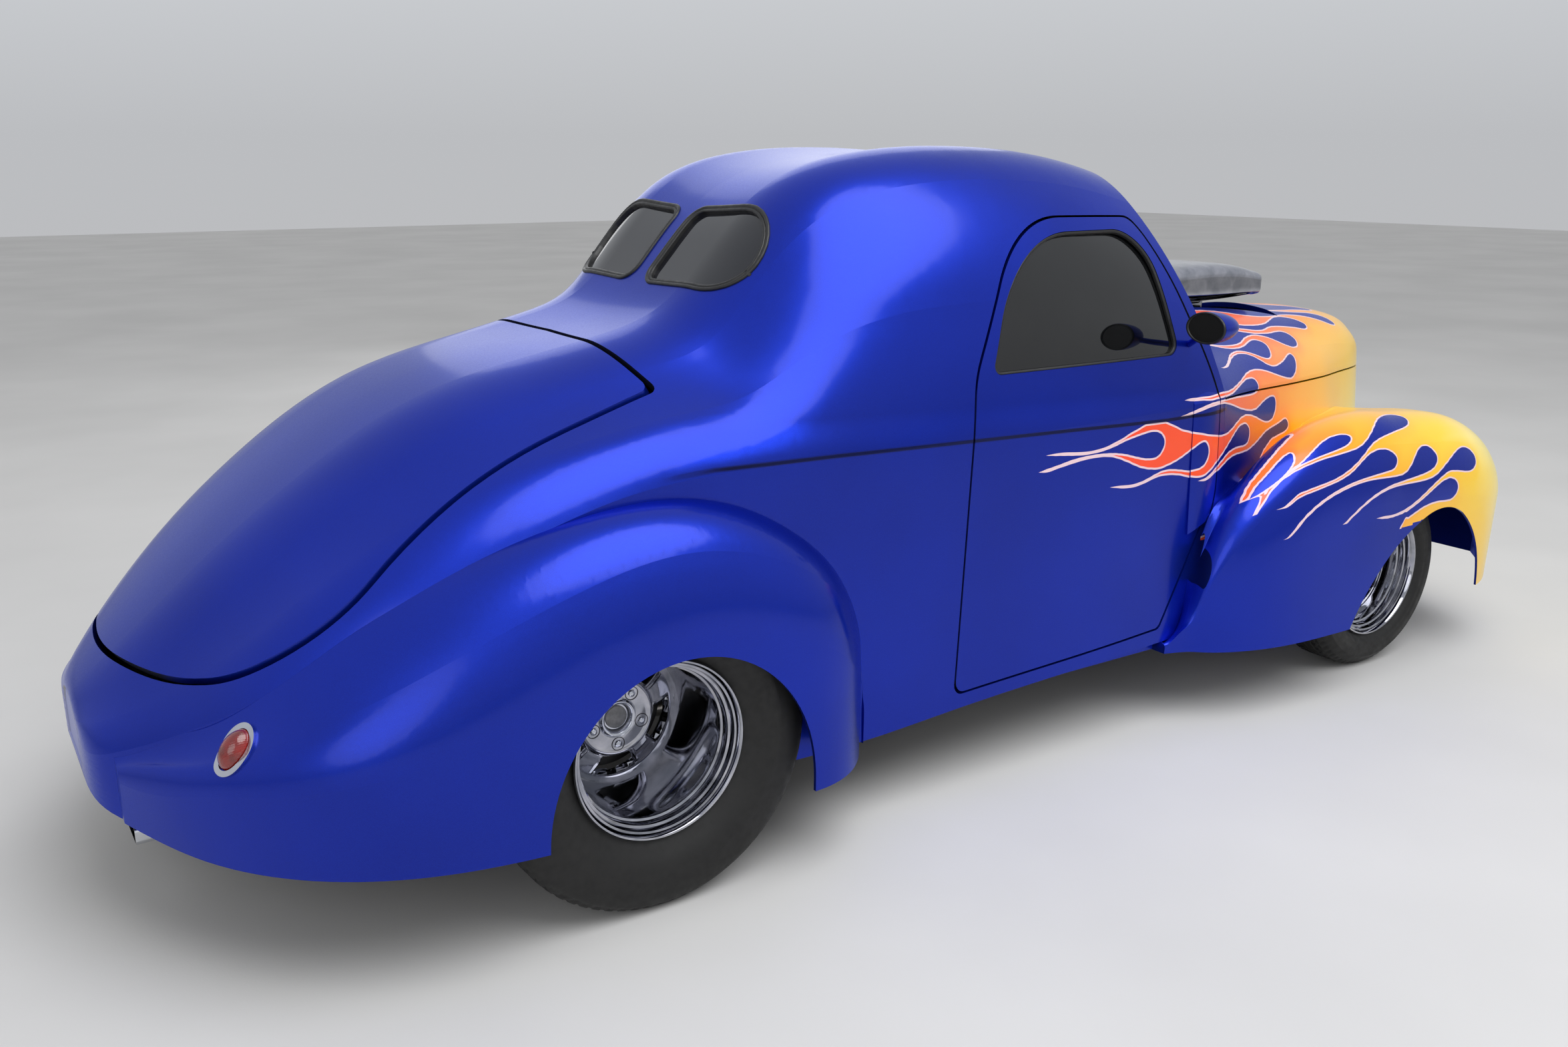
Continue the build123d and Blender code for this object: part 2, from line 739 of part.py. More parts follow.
# Deck lid
with BuildPart() as lid_half:
    add(body_skin.part)
    add(lid_prism(-LID_GAP), mode=Mode.INTERSECT)
    add(solid_from(cab_loft(CAB[:9], LID_WALL, 60)), mode=Mode.SUBTRACT)
    arm = [(lid_pin[0] + x, LID_ARM_Y, lid_pin[2] + z) for x, z in LID_ARM_LINE]
    for low, high in zip(arm, arm[1:]):
        add(tube(low, high, LID_ARM_RADIUS))
        with Locations(Location(low)):
            Sphere(LID_ARM_RADIUS)
    add(y_cylinder(lid_pin[0], lid_pin[2], LID_PIN_RADIUS + 6, LID_ARM_Y - 8, LID_ARM_Y + 8))
    lid_bore = y_cylinder(lid_pin[0], lid_pin[2], LID_PIN_RADIUS + SPIN_GAP, LID_ARM_Y - 20, LID_ARM_Y + 20)
    add(lid_bore, mode=Mode.SUBTRACT)
decklid = both_sides(lid_half.part)
save(decklid, "decklid", "blue")

# Hood with a slot that clears the scoop, and the nose below it
with BuildPart() as hood_half:
    add(hood_outer)
    add(hood_space(PANEL_GAP), mode=Mode.INTERSECT)
    add(above_seam(PANEL_GAP / 2), mode=Mode.INTERSECT)
    add(hood_inner, mode=Mode.SUBTRACT)
    add(block(along(1700), along(SCOOP_SLOT_FRONT), -1, SCOOP_SLOT_HALF, 900, 1300), mode=Mode.SUBTRACT)
hood = both_sides(hood_half.part)
save(hood, "hood", "blue")

with BuildPart() as grille_prism:
    with BuildSketch(cross_plane(along(3215))):
        with BuildLine():
            corners = [(y, z) for y, z, r in GRILLE_OUTLINE]
            FilletPolyline(corners, radius=[r for y, z, r in GRILLE_OUTLINE], close=True)
        make_face()
    extrude(amount=400)

with BuildPart() as nose_half:
    add(hood_outer)
    add(hood_space(SEAT_GAP), mode=Mode.INTERSECT)
    add(above_seam(-PANEL_GAP / 2), mode=Mode.SUBTRACT)
    add(hood_inner, mode=Mode.SUBTRACT)
    add(grille_prism.part, mode=Mode.SUBTRACT)
nose_shell = both_sides(nose_half.part)
save(nose_shell, "nose_shell", "blue")

grille_front = solid_from(cab_loft(HOOD, 5, 0, 5))
grille_back = solid_from(cab_loft(HOOD, 22, 0, 22))
with BuildPart() as grille_half:
    add(grille_front)
    add(grille_back, mode=Mode.SUBTRACT)
    add(grille_prism.part, mode=Mode.INTERSECT)
    with BuildPart(mode=Mode.PRIVATE) as slats:
        with Locations((along(3350), 14 + GRILLE_PITCH * (GRILLE_BARS - 1) / 2, 600)):
            with GridLocations(0, GRILLE_PITCH, 1, GRILLE_BARS):
                Box(400, GRILLE_BAR, 500)
        with Locations((along(3350), 90, 590)):
            Box(400, 180, 10)
    add(slats.part, mode=Mode.INTERSECT)
grille = both_sides(grille_half.part)
save(grille, "grille", "silver")

# Headlamps let into the fenders: the lens lies in the skin, the ring stands on it


def lamp_drum(radius):
    with BuildPart() as drum:
        with BuildSketch(cross_plane(along(3300))):
            with Locations((HEADLAMP_Y, HEADLAMP_Z)):
                Circle(radius)
        extrude(amount=150)
    return drum.part


# Fenders
body_keep = solid_from(cab_loft(CAB, -SEAT_GAP))
hood_keep = solid_from(cab_loft(HOOD, -SEAT_GAP))
with BuildPart() as rear_fender:
    add(solid_from(arch_faces(REAR_FENDER)))
    add(body_keep, mode=Mode.SUBTRACT)
    add(solid_from(arch_faces(REAR_FENDER[1:-1], FENDER_WALL, 60, 140)), mode=Mode.SUBTRACT)
    with BuildSketch(side_plane(900)):
        with Locations((along(REAR_OPENING_X), REAR_OPENING_Z)):
            Ellipse(REAR_OPENING_HALF, REAR_OPENING_RISE)
        with Locations((along(REAR_OPENING_X), REAR_OPENING_Z - 150)):
            Rectangle(2 * REAR_OPENING_HALF, 300)
    extrude(amount=200, mode=Mode.SUBTRACT)
save_pair(rear_fender.part, "rear_fender", "blue")

FRONT_OPENING = [
    (2352, 206), (2497, 403), (2660, 508),
    (2806, 535), (2905, 502),
    (3020, 390), (3095, 206),
]
with BuildPart() as front_fender:
    add(solid_from(wing_faces(FRONT_FENDER)))
    add(body_keep, mode=Mode.SUBTRACT)
    add(hood_keep, mode=Mode.SUBTRACT)
    add(solid_from(wing_faces(FRONT_FENDER[1:-1], FENDER_WALL, 60, 140)), mode=Mode.SUBTRACT)
    with BuildSketch(side_plane(900)):
        with BuildLine():
            points = [(along(x), z) for x, z in FRONT_OPENING]
            ThreePointArc(points[0], points[1], points[2])
            ThreePointArc(points[2], points[3], points[4])
            ThreePointArc(points[4], points[5], points[6])
            Polyline(points[6], (points[6][0], 100), (points[0][0], 100), points[0])
        make_face()
    extrude(amount=260, mode=Mode.SUBTRACT)
    add(lamp_drum(HEADLAMP_RADIUS), mode=Mode.SUBTRACT)
save_pair(front_fender.part, "front_fender", "blue")
# Wheels, drawn for the left side with y outwards from the middle of the rim


def barrel_points(half):
    """Rim section: flanges, bead seats and drop centre, the same wall all along."""
    outer = [
        (RIM_RADIUS + RIM_FLANGE, -half),
        (RIM_RADIUS + RIM_FLANGE, -half + RIM_WALL),
        (RIM_RADIUS, -half + RIM_WALL + 5),
        (RIM_RADIUS, -half + RIM_WALL + BEAD_SEAT),
        (RIM_RADIUS - 18, -half + RIM_WALL + BEAD_SEAT + 14),
        (RIM_RADIUS - 18, half - RIM_WALL - BEAD_SEAT - 14),
        (RIM_RADIUS, half - RIM_WALL - BEAD_SEAT),
        (RIM_RADIUS, half - RIM_WALL - 5),
        (RIM_RADIUS + RIM_FLANGE, half - RIM_WALL),
        (RIM_RADIUS + RIM_FLANGE, half),
    ]
    inner = [
        (RIM_RADIUS + 4, half),
        (RIM_RADIUS - RIM_WALL, half - 12),
        (RIM_RADIUS - RIM_WALL, half - BEAD_SEAT),
        (RIM_RADIUS - 18 - RIM_WALL, half - BEAD_SEAT - 14),
        (RIM_RADIUS - 18 - RIM_WALL, -half + BEAD_SEAT + 14),
        (RIM_RADIUS - RIM_WALL, -half + BEAD_SEAT),
        (RIM_RADIUS - RIM_WALL, -half + 12),
        (RIM_RADIUS + 4, -half),
    ]
    return outer + inner


def wheel_rim(x, z, centre_y, half, dish, stub_radius, hub_depth):
    """Barrel, five spokes and a capped hub with a blind bore for the stub."""
    cap_y = centre_y + half - dish
    spoke_y = cap_y - 14
    with BuildPart() as rim:
        add(spin(barrel_points(half), centre_y, x, z))
        plane = Plane(origin=(x, spoke_y, z), x_dir=(1, 0, 0), z_dir=(0, -1, 0))
        with BuildSketch(plane):
            Circle(HUB_RADIUS)
            reach = RIM_RADIUS - 20
            with PolarLocations(reach / 2, SPOKES, start_angle=90):
                Rectangle(reach, SPOKE_WIDTH)
        extrude(amount=SPOKE_THICK)
        add(y_cylinder(x, z, stub_radius + 22, cap_y - hub_depth, cap_y - 2))
        add(y_cylinder(x, z, stub_radius + 16, cap_y - 2, cap_y))
        bore = y_cylinder(x, z, stub_radius + SPIN_GAP, cap_y - hub_depth - 1, cap_y - CAP_THICK)
        add(bore, mode=Mode.SUBTRACT)
    return rim.part


def wheel_tyre(x, z, centre_y, rim_half, radius, half, tread_half):
    """Hollow tyre seated on the bead seats."""
    seat = RIM_RADIUS + SEAT_GAP
    bead = rim_half - RIM_WALL - 5 - 2
    with BuildPart() as tyre:
        with BuildSketch(Plane(origin=(x, centre_y, z), x_dir=(0, 0, 1), z_dir=(-1, 0, 0))):
            with BuildLine():
                middle = (seat + radius) / 2
                lip = RIM_RADIUS + RIM_FLANGE + 4
                Polyline(
                    (seat, -bead), (lip, -bead), (middle - 24, -half), (middle + 20, -half),
                    (radius - 14, -tread_half - 6), (radius, -tread_half + 14),
                    (radius, tread_half - 14), (radius - 14, tread_half + 6),
                    (middle + 20, half), (middle - 24, half), (lip, bead), (seat, bead),
                    (seat, bead - BEAD_SEAT + 8), (middle - 20, half - TYRE_WALL),
                    (middle + 14, half - TYRE_WALL),
                    (radius - 30, tread_half - 10), (radius - TYRE_WALL, tread_half - 34),
                    (radius - TYRE_WALL, -tread_half + 34), (radius - 30, -tread_half + 10),
                    (middle + 14, -half + TYRE_WALL), (middle - 20, -half + TYRE_WALL),
                    (seat, -bead + BEAD_SEAT - 8),
                    close=True,
                )
            make_face()
        revolve(axis=Axis((x, centre_y, z), (0, 1, 0)))
    return tyre.part


rear_rim = wheel_rim(
    REAR_AXLE_X, REAR_TYRE_RADIUS, REAR_CENTRE_Y, REAR_RIM_HALF, REAR_DISH, REAR_STUB_RADIUS, REAR_HUB_DEPTH
)
rear_tyre = wheel_tyre(
    REAR_AXLE_X, REAR_TYRE_RADIUS, REAR_CENTRE_Y, REAR_RIM_HALF, REAR_TYRE_RADIUS, REAR_TYRE_WIDTH / 2, 170
)
front_rim = wheel_rim(
    FRONT_AXLE_X, FRONT_TYRE_RADIUS, FRONT_CENTRE_Y, FRONT_RIM_HALF,
    FRONT_DISH, FRONT_STUB_RADIUS, FRONT_HUB_DEPTH,
)
front_tyre = wheel_tyre(
    FRONT_AXLE_X, FRONT_TYRE_RADIUS, FRONT_CENTRE_Y, FRONT_RIM_HALF,
    FRONT_TYRE_RADIUS, FRONT_TYRE_WIDTH / 2, 70,
)
save_pair(rear_rim, "rear_rim", "silver")
save_pair(rear_tyre, "rear_tyre", "black")
save_pair(front_rim, "front_rim", "silver")
save_pair(front_tyre, "front_tyre", "black")

# Knuckle: boss round the kingpin, spindle outwards, steering arm to the rear
front_cap_y = FRONT_CENTRE_Y + FRONT_RIM_HALF - FRONT_DISH
front_hub_in = front_cap_y - FRONT_HUB_DEPTH
with BuildPart() as knuckle:
    add(rounded_block(
        FRONT_AXLE_X - BOSS_RADIUS, FRONT_AXLE_X + BOSS_RADIUS,
        KINGPIN_Y - BOSS_RADIUS, KINGPIN_Y + BOSS_RADIUS,
        FRONT_TYRE_RADIUS - BOSS_HALF, FRONT_TYRE_RADIUS + BOSS_HALF, 24,
    ))
    add(y_cylinder(FRONT_AXLE_X, FRONT_TYRE_RADIUS, 30, KINGPIN_Y, front_hub_in - STUB_SHORT))
    stub_end = front_cap_y - CAP_THICK - STUB_SHORT
    add(y_cylinder(FRONT_AXLE_X, FRONT_TYRE_RADIUS, FRONT_STUB_RADIUS, KINGPIN_Y, stub_end))
    add(block(
        FRONT_AXLE_X - 135, FRONT_AXLE_X, KINGPIN_Y - 22, KINGPIN_Y - 4,
        FRONT_TYRE_RADIUS - 55, FRONT_TYRE_RADIUS - 35,
    ))
    with Locations(Location((FRONT_AXLE_X, KINGPIN_Y, FRONT_TYRE_RADIUS))):
        Cylinder(KINGPIN_RADIUS + SPIN_GAP, 300, mode=Mode.SUBTRACT)
save_pair(knuckle.part, "knuckle", "gray")

# Front suspension: arms from the frame to a kingpin through each knuckle
pin_low = FRONT_TYRE_RADIUS - BOSS_HALF - 1
pin_high = FRONT_TYRE_RADIUS + BOSS_HALF + 1
with BuildPart() as arms_half:
    with Locations(Location((FRONT_AXLE_X, KINGPIN_Y, FRONT_TYRE_RADIUS))):
        Cylinder(KINGPIN_RADIUS, pin_high - pin_low + 4)
    for low, high in ((pin_low - YOKE_THICK, pin_low), (pin_high, pin_high + YOKE_THICK)):
        yoke = (FRONT_AXLE_X - 22, FRONT_AXLE_X + 22, KINGPIN_Y - 42, KINGPIN_Y + 22)
        add(rounded_block(*yoke, low, high, 20))
    for side in (-1, 1):
        for z, spread in ((pin_low - YOKE_THICK / 2, ARM_SPREAD), (pin_high + YOKE_THICK / 2, UPPER_SPREAD)):
            outer_end = (FRONT_AXLE_X + 8 * side, KINGPIN_Y - 34, z)
            add(tube(outer_end, (FRONT_AXLE_X + spread * side, RAIL_OUTER, z), YOKE_THICK / 2))
    rail_room = block(FRONT_AXLE_X - 300, FRONT_AXLE_X + 300, 200, RAIL_OUTER + SEAT_GAP, 100, 500)
    add(rail_room, mode=Mode.SUBTRACT)
front_suspension = both_sides(arms_half.part)
save(front_suspension, "front_suspension", "gray")

# Frame: side rails with a kick-up over the rear axle, cross members
RAIL_LINE = [
    (3060, 230), (2950, 190), (620, 190), (440, 420), (-310, 440), (-480, 330), (-900, 330),
    (-900, 400), (-480, 400), (-330, 530), (400, 530), (560, 285),
    (2250, 285), (2420, 400), (2860, 400), (3060, 330),
]
CROSS_MEMBERS = [
    (3005, 240, 330), (2560, 240, 300), (2200, 240, 300),
    (1450, 240.3, 285), (640, 240.3, 285), (-330, 450, 515), (-860, 345, 385),
]
with BuildPart() as frame_half:
    with BuildSketch(side_plane(RAIL_OUTER)):
        with BuildLine():
            Polyline([(along(x), z) for x, z in RAIL_LINE], close=True)
        make_face()
    extrude(amount=RAIL_OUTER - RAIL_INNER)
    for x, low, high in CROSS_MEMBERS:
        add(block(along(x) - 30, along(x) + 30, 0, RAIL_INNER + 5, low, high))
chassis_frame = both_sides(frame_half.part)
save(chassis_frame, "chassis_frame", "black")

# Rear axle: housing, brake drums and the stubs the wheels turn on
rear_cap_y = REAR_CENTRE_Y + REAR_RIM_HALF - REAR_DISH
rear_hub_in = rear_cap_y - REAR_HUB_DEPTH
with BuildPart() as axle_half:
    add(y_cylinder(REAR_AXLE_X, REAR_TYRE_RADIUS, AXLE_TUBE_RADIUS, 0, rear_hub_in - 70))
    add(y_cylinder(REAR_AXLE_X, REAR_TYRE_RADIUS, DRUM_RADIUS, rear_hub_in - 75, rear_hub_in - 4))
    stub_end = rear_cap_y - CAP_THICK - STUB_SHORT
    add(y_cylinder(REAR_AXLE_X, REAR_TYRE_RADIUS, REAR_STUB_RADIUS, rear_hub_in - 10, stub_end))
    add(y_cylinder(REAR_AXLE_X, REAR_TYRE_RADIUS, DIFF_RADIUS, 0, 85))
    add(tube((REAR_AXLE_X, 0, REAR_TYRE_RADIUS), (REAR_AXLE_X + 260, 0, REAR_TYRE_RADIUS - 20), 48))
rear_axle = both_sides(axle_half.part)
save(rear_axle, "rear_axle", "black")

# Rear suspension: trailing bars and upright coil units on each side
with BuildPart() as links_half:
    for z_axle in (310, 430):
        add(tube((REAR_AXLE_X + 50, BAR_Y, z_axle), (along(BAR_FRONT), BAR_Y + 40, BAR_FRONT_Z), BAR_RADIUS))
    add(tube((REAR_AXLE_X - 75, BAR_Y, 300), (REAR_AXLE_X - 75, BAR_Y, 515), 30))
    add(block(REAR_AXLE_X - 110, REAR_AXLE_X + 60, BAR_Y - 12, BAR_Y + 12, 290, 460))
    add(axle_half.part, mode=Mode.SUBTRACT)
rear_suspension = both_sides(links_half.part)
save(rear_suspension, "rear_suspension", "silver")

# Engine as one mass, the blower and its scoop, the radiator
ENGINE = (along(2090), along(2680), -235, 235, 300 + SEAT_GAP, 790)
BLOWER = (along(2160), along(2560), -125, 125, 790 + SEAT_GAP, 1060)
with BuildPart() as engine_block:
    add(block(*ENGINE))
    for side in (-1, 1):
        near, far = sorted((side * 150, side * 300))
        add(block(ENGINE[0] + 20, ENGINE[1] - 20, near, far, 610, 760))
save(engine_block.part, "engine_block", "black")

SCOOP_ROWS = [
    (2036, 118, 1162, 1240), (2160, 138, 1146, 1252), (2380, 148, 1142, 1260),
    (2620, 150, 1140, 1260), (2732, 138, 1150, 1226),
]
with BuildPart() as supercharger:
    add(rounded_block(*BLOWER, 30))
    add(rounded_block(along(2180), along(2500), -95, 95, BLOWER[5], NECK_TOP, 20))
save(supercharger.part, "supercharger", "silver")


def scoop_sections(shrink):
    for x, half, low, high in SCOOP_ROWS:
        with BuildSketch(cross_plane(along(x))) as section:
            with Locations((0, (low + high) / 2)):
                RectangleRounded(2 * (half - shrink), high - low - 2 * shrink, 26)
        yield section.sketch.faces()[0]


with BuildPart() as intake_scoop:
    loft(list(scoop_sections(0)), ruled=True)
    add(rounded_block(along(2190), along(2490), -100, 100, NECK_TOP + SEAT_GAP, 1180, 20))
    with BuildPart(mode=Mode.PRIVATE) as scoop_hollow:
        loft(list(scoop_sections(SCOOP_SHEET)), ruled=True)
        rear_wall = block(along(SCOOP_REAR) - 10, along(SCOOP_REAR) + SCOOP_SHEET, -200, 200, 1100, 1300)
        add(rear_wall, mode=Mode.SUBTRACT)
    add(scoop_hollow.part, mode=Mode.SUBTRACT)
save(intake_scoop.part, "intake_scoop", "silver")

with BuildPart() as radiator:
    add(block(along(2975), along(3035), -150, 150, 330 + SEAT_GAP, 860))
save(radiator.part, "radiator", "black")

# Headlamp lenses and rings
with BuildPart() as head_lens_half:
    add(lamp_drum(HEADLAMP_RADIUS - SEAT_GAP))
    add(solid_from(wing_faces(FRONT_FENDER, 2)), mode=Mode.INTERSECT)
    add(solid_from(wing_faces(FRONT_FENDER[:-1], 2 + LENS_WALL, 60, 140)), mode=Mode.SUBTRACT)
headlamp_lenses = both_sides(head_lens_half.part)
save(headlamp_lenses, "headlamp_lenses", "white")

with BuildPart() as head_ring_half:
    add(lamp_drum(HEADLAMP_RADIUS + RING_WIDE))
    add(lamp_drum(HEADLAMP_RADIUS), mode=Mode.SUBTRACT)
    add(solid_from(wing_faces(FRONT_FENDER, -RING_PROUD)), mode=Mode.INTERSECT)
    add(solid_from(wing_faces(FRONT_FENDER, -SEAT_GAP)), mode=Mode.SUBTRACT)

# Tail lamps: domes in rings on the rear fenders
TAIL_LAMP_FACING = Vector(-0.72, 0.42, 0.55).normalized()
tail_spot = Vector(along(TAIL_LAMP_SPOT[0]), *TAIL_LAMP_SPOT[1:])
tail_up = Vector(0.5, 0, 0.86)
tail_across = tail_up.cross(TAIL_LAMP_FACING).normalized()
tail_plane = Plane(origin=tail_spot, x_dir=TAIL_LAMP_FACING.cross(tail_across), z_dir=TAIL_LAMP_FACING)
rear_keep = solid_from(arch_faces(REAR_FENDER, -SEAT_GAP))


def tail_prism(step):
    with BuildPart() as prism:
        with BuildSketch(tail_plane.offset(-90)):
            Ellipse(TAIL_LENS_LONG + step, TAIL_LENS_WIDE + step)
        extrude(amount=180)
    return prism.part


with BuildPart() as tail_lens_half:
    with BuildPart(mode=Mode.PRIVATE) as dome:
        Sphere(TAIL_LENS_HIGH)
        scale(by=(TAIL_LENS_LONG / TAIL_LENS_HIGH, TAIL_LENS_WIDE / TAIL_LENS_HIGH, 1))
    add(dome.part.moved(tail_plane.location))
    add(rear_keep, mode=Mode.SUBTRACT)
    add(body_keep, mode=Mode.SUBTRACT)
tail_lamp_lenses = both_sides(tail_lens_half.part)
save(tail_lamp_lenses, "tail_lamp_lenses", "red")

with BuildPart() as tail_ring_half:
    add(tail_prism(12))
    add(tail_prism(SEAT_GAP), mode=Mode.SUBTRACT)
    add(solid_from(arch_faces(REAR_FENDER, -10)), mode=Mode.INTERSECT)
    add(rear_keep, mode=Mode.SUBTRACT)
    add(body_keep, mode=Mode.SUBTRACT)
with BuildPart() as rings_half:
    add(head_ring_half.part)
    add(tail_ring_half.part)
lamp_bezels = both_sides(rings_half.part)
save(lamp_bezels, "lamp_bezels", "silver")

# Mirrors: a teardrop head with a flat rear face on an arm from the door
mirror_x = along(MIRROR_SPOT[0])
with BuildPart() as wing_mirror:
    with BuildPart(mode=Mode.PRIVATE) as head:
        Sphere(MIRROR_HIGH)
        scale(by=(MIRROR_LONG / MIRROR_HIGH, MIRROR_WIDE / MIRROR_HIGH, 1))
        add(block(-200, 0, -200, 200, -200, 200), mode=Mode.SUBTRACT)
    add(head.part.moved(Location((mirror_x, MIRROR_SPOT[1], MIRROR_SPOT[2]))))
    arm_head = (mirror_x + 40, MIRROR_SPOT[1] - 20, MIRROR_SPOT[2] - 10)
    add(tube(arm_head, (along(1770), 650, 1105), MIRROR_ARM_RADIUS))
    add(solid_from(cab_loft(CAB[8:], -SEAT_GAP)), mode=Mode.SUBTRACT)
save_pair(wing_mirror.part, "mirror", "blue")

# Exhaust: a pipe under the floor to a flat tip under the tail
PIPE_LINE = [
    (2140, -195, 320), (2080, -225, 215), (1300, -230, 211.4), (500, -225, 207.5),
    (-150, -185, 200), (-600, -100, 195), (-880, -75, 170),
]
with BuildPart() as exhaust:
    for (x0, y0, z0), (x1, y1, z1) in zip(PIPE_LINE[1:], PIPE_LINE[2:]):
        add(tube((along(x0), y0, z0), (along(x1), y1, z1), PIPE_RADIUS))
        with Locations(Location((along(x0), y0, z0))):
            Sphere(PIPE_RADIUS)
    add(rounded_block(along(900), along(1280), -290, -165, 175, 240, 40))
    with BuildSketch(cross_plane(along(-968))):
        with Locations((-75, 163)):
            RectangleRounded(150, 46, 12)
            RectangleRounded(142, 38, 8, mode=Mode.SUBTRACT)
    extrude(amount=100)
    with BuildSketch(cross_plane(along(-868))):
        with Locations((-75, 163)):
            RectangleRounded(150, 46, 12)
    extrude(amount=30)
save(exhaust.part, "exhaust", "silver")

# Seats, dashboard, steering wheel
with BuildPart() as seat:
    add(block(along(960), along(1460), SEAT_Y - SEAT_HALF, SEAT_Y + SEAT_HALF, FLOOR_TOP + SEAT_GAP, 440))
    with BuildSketch(side_plane(SEAT_Y + SEAT_HALF)):
        with BuildLine():
            foot = FLOOR_TOP + SEAT_GAP
            Polyline(
                (along(950), foot), (along(1090), foot), (along(1000), 1010), (along(890), 1010), close=True
            )
        make_face()
    extrude(amount=2 * SEAT_HALF)
    fillet(seat.edges().filter_by(lambda e: e.center().Z > FLOOR_TOP + 50), radius=22)
save_pair(seat.part, "seat", "black")

with BuildPart() as dashboard:
    add(block(along(1800), along(1905.5), -600, 600, 860, 1030))
    fillet(dashboard.edges().filter_by(Axis.Y).group_by(Axis.X)[0], radius=30)
    both_cabins = both_sides(cabin_fill.part)
    add(both_cabins, mode=Mode.INTERSECT)
save(dashboard.part, "dashboard", "black")

column_top = Vector(along(COLUMN_TOP[0]), *COLUMN_TOP[1:])
column_foot = Vector(along(COLUMN_FOOT[0]), *COLUMN_FOOT[1:])
column_plane = Plane(origin=column_top, x_dir=(0, 1, 0), z_dir=(column_foot - column_top).normalized())
with BuildPart() as steering_wheel:
    with Locations(column_plane.location):
        Torus(STEERING_RADIUS, STEERING_GRIP)
        Cylinder(30, 20)
        with PolarLocations(STEERING_RADIUS / 2, 3, start_angle=90):
            Box(STEERING_RADIUS, 22, 6)
    add(tube(column_top, column_foot, 18))
save(steering_wheel.part, "steering_wheel", "black")
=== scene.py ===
"""Looks of a chopped coupe hot rod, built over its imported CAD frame.

All sizes are in metres, in the CAD's own axes: +X forward, +Y to the car's left, +Z up.
"""

import json
from math import cos, pi, radians, sin

import bmesh
import bpy
import numpy as np
from bpy.props import FloatProperty, FloatVectorProperty, IntProperty, PointerProperty
from mathutils import Matrix, Vector


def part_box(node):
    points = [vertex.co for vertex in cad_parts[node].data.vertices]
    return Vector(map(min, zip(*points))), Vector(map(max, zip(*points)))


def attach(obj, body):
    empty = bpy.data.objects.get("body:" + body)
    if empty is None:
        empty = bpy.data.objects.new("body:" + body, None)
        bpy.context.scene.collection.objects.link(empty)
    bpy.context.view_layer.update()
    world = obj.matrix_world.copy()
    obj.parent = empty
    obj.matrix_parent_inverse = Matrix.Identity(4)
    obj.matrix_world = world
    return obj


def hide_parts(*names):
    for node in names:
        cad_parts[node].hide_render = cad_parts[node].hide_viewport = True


bl_info = {
    "name": "Hot rod coupe looks",
    "version": (1, 0, 0),
    "blender": (4, 5, 0),
    "location": "3D View > Sidebar > Hot rod",
    "description": "Paint, wheels, trim, seats and stage of a chopped coupe",
    "category": "Object",
}

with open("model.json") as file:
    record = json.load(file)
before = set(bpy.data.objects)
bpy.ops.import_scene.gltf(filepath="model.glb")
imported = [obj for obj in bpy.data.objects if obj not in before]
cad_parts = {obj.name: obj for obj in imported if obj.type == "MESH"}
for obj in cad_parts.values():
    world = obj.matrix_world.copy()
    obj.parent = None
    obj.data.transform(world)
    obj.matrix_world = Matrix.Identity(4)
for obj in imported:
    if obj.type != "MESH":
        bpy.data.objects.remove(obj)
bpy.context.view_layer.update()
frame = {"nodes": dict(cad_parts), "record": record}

# X of the axles. Stations are millimetres forward of the rear one.
REAR_AXLE_X = -1.225
FRONT_AXLE_X = 1.417
SLOTS = {part["node"]: part["material_slot"] for part in frame["record"]["subparts"]}
SIDES = ((1, "left"), (-1, "right"))


# Mesh helpers

def grid_faces(rows, columns, wrap_rows=False, wrap_columns=False):
    """Quads of a grid: each joins point (i, j) to (i+1, j), (i+1, j+1) and (i, j+1)."""
    i = np.arange(rows if wrap_rows else rows - 1)
    j = np.arange(columns if wrap_columns else columns - 1)
    a, b = np.meshgrid(i, j, indexing="ij")
    c, d = (a + 1) % rows, (b + 1) % columns
    quads = np.stack([a * columns + b, c * columns + b, c * columns + d, a * columns + d], -1)
    return quads.reshape(-1, 4)


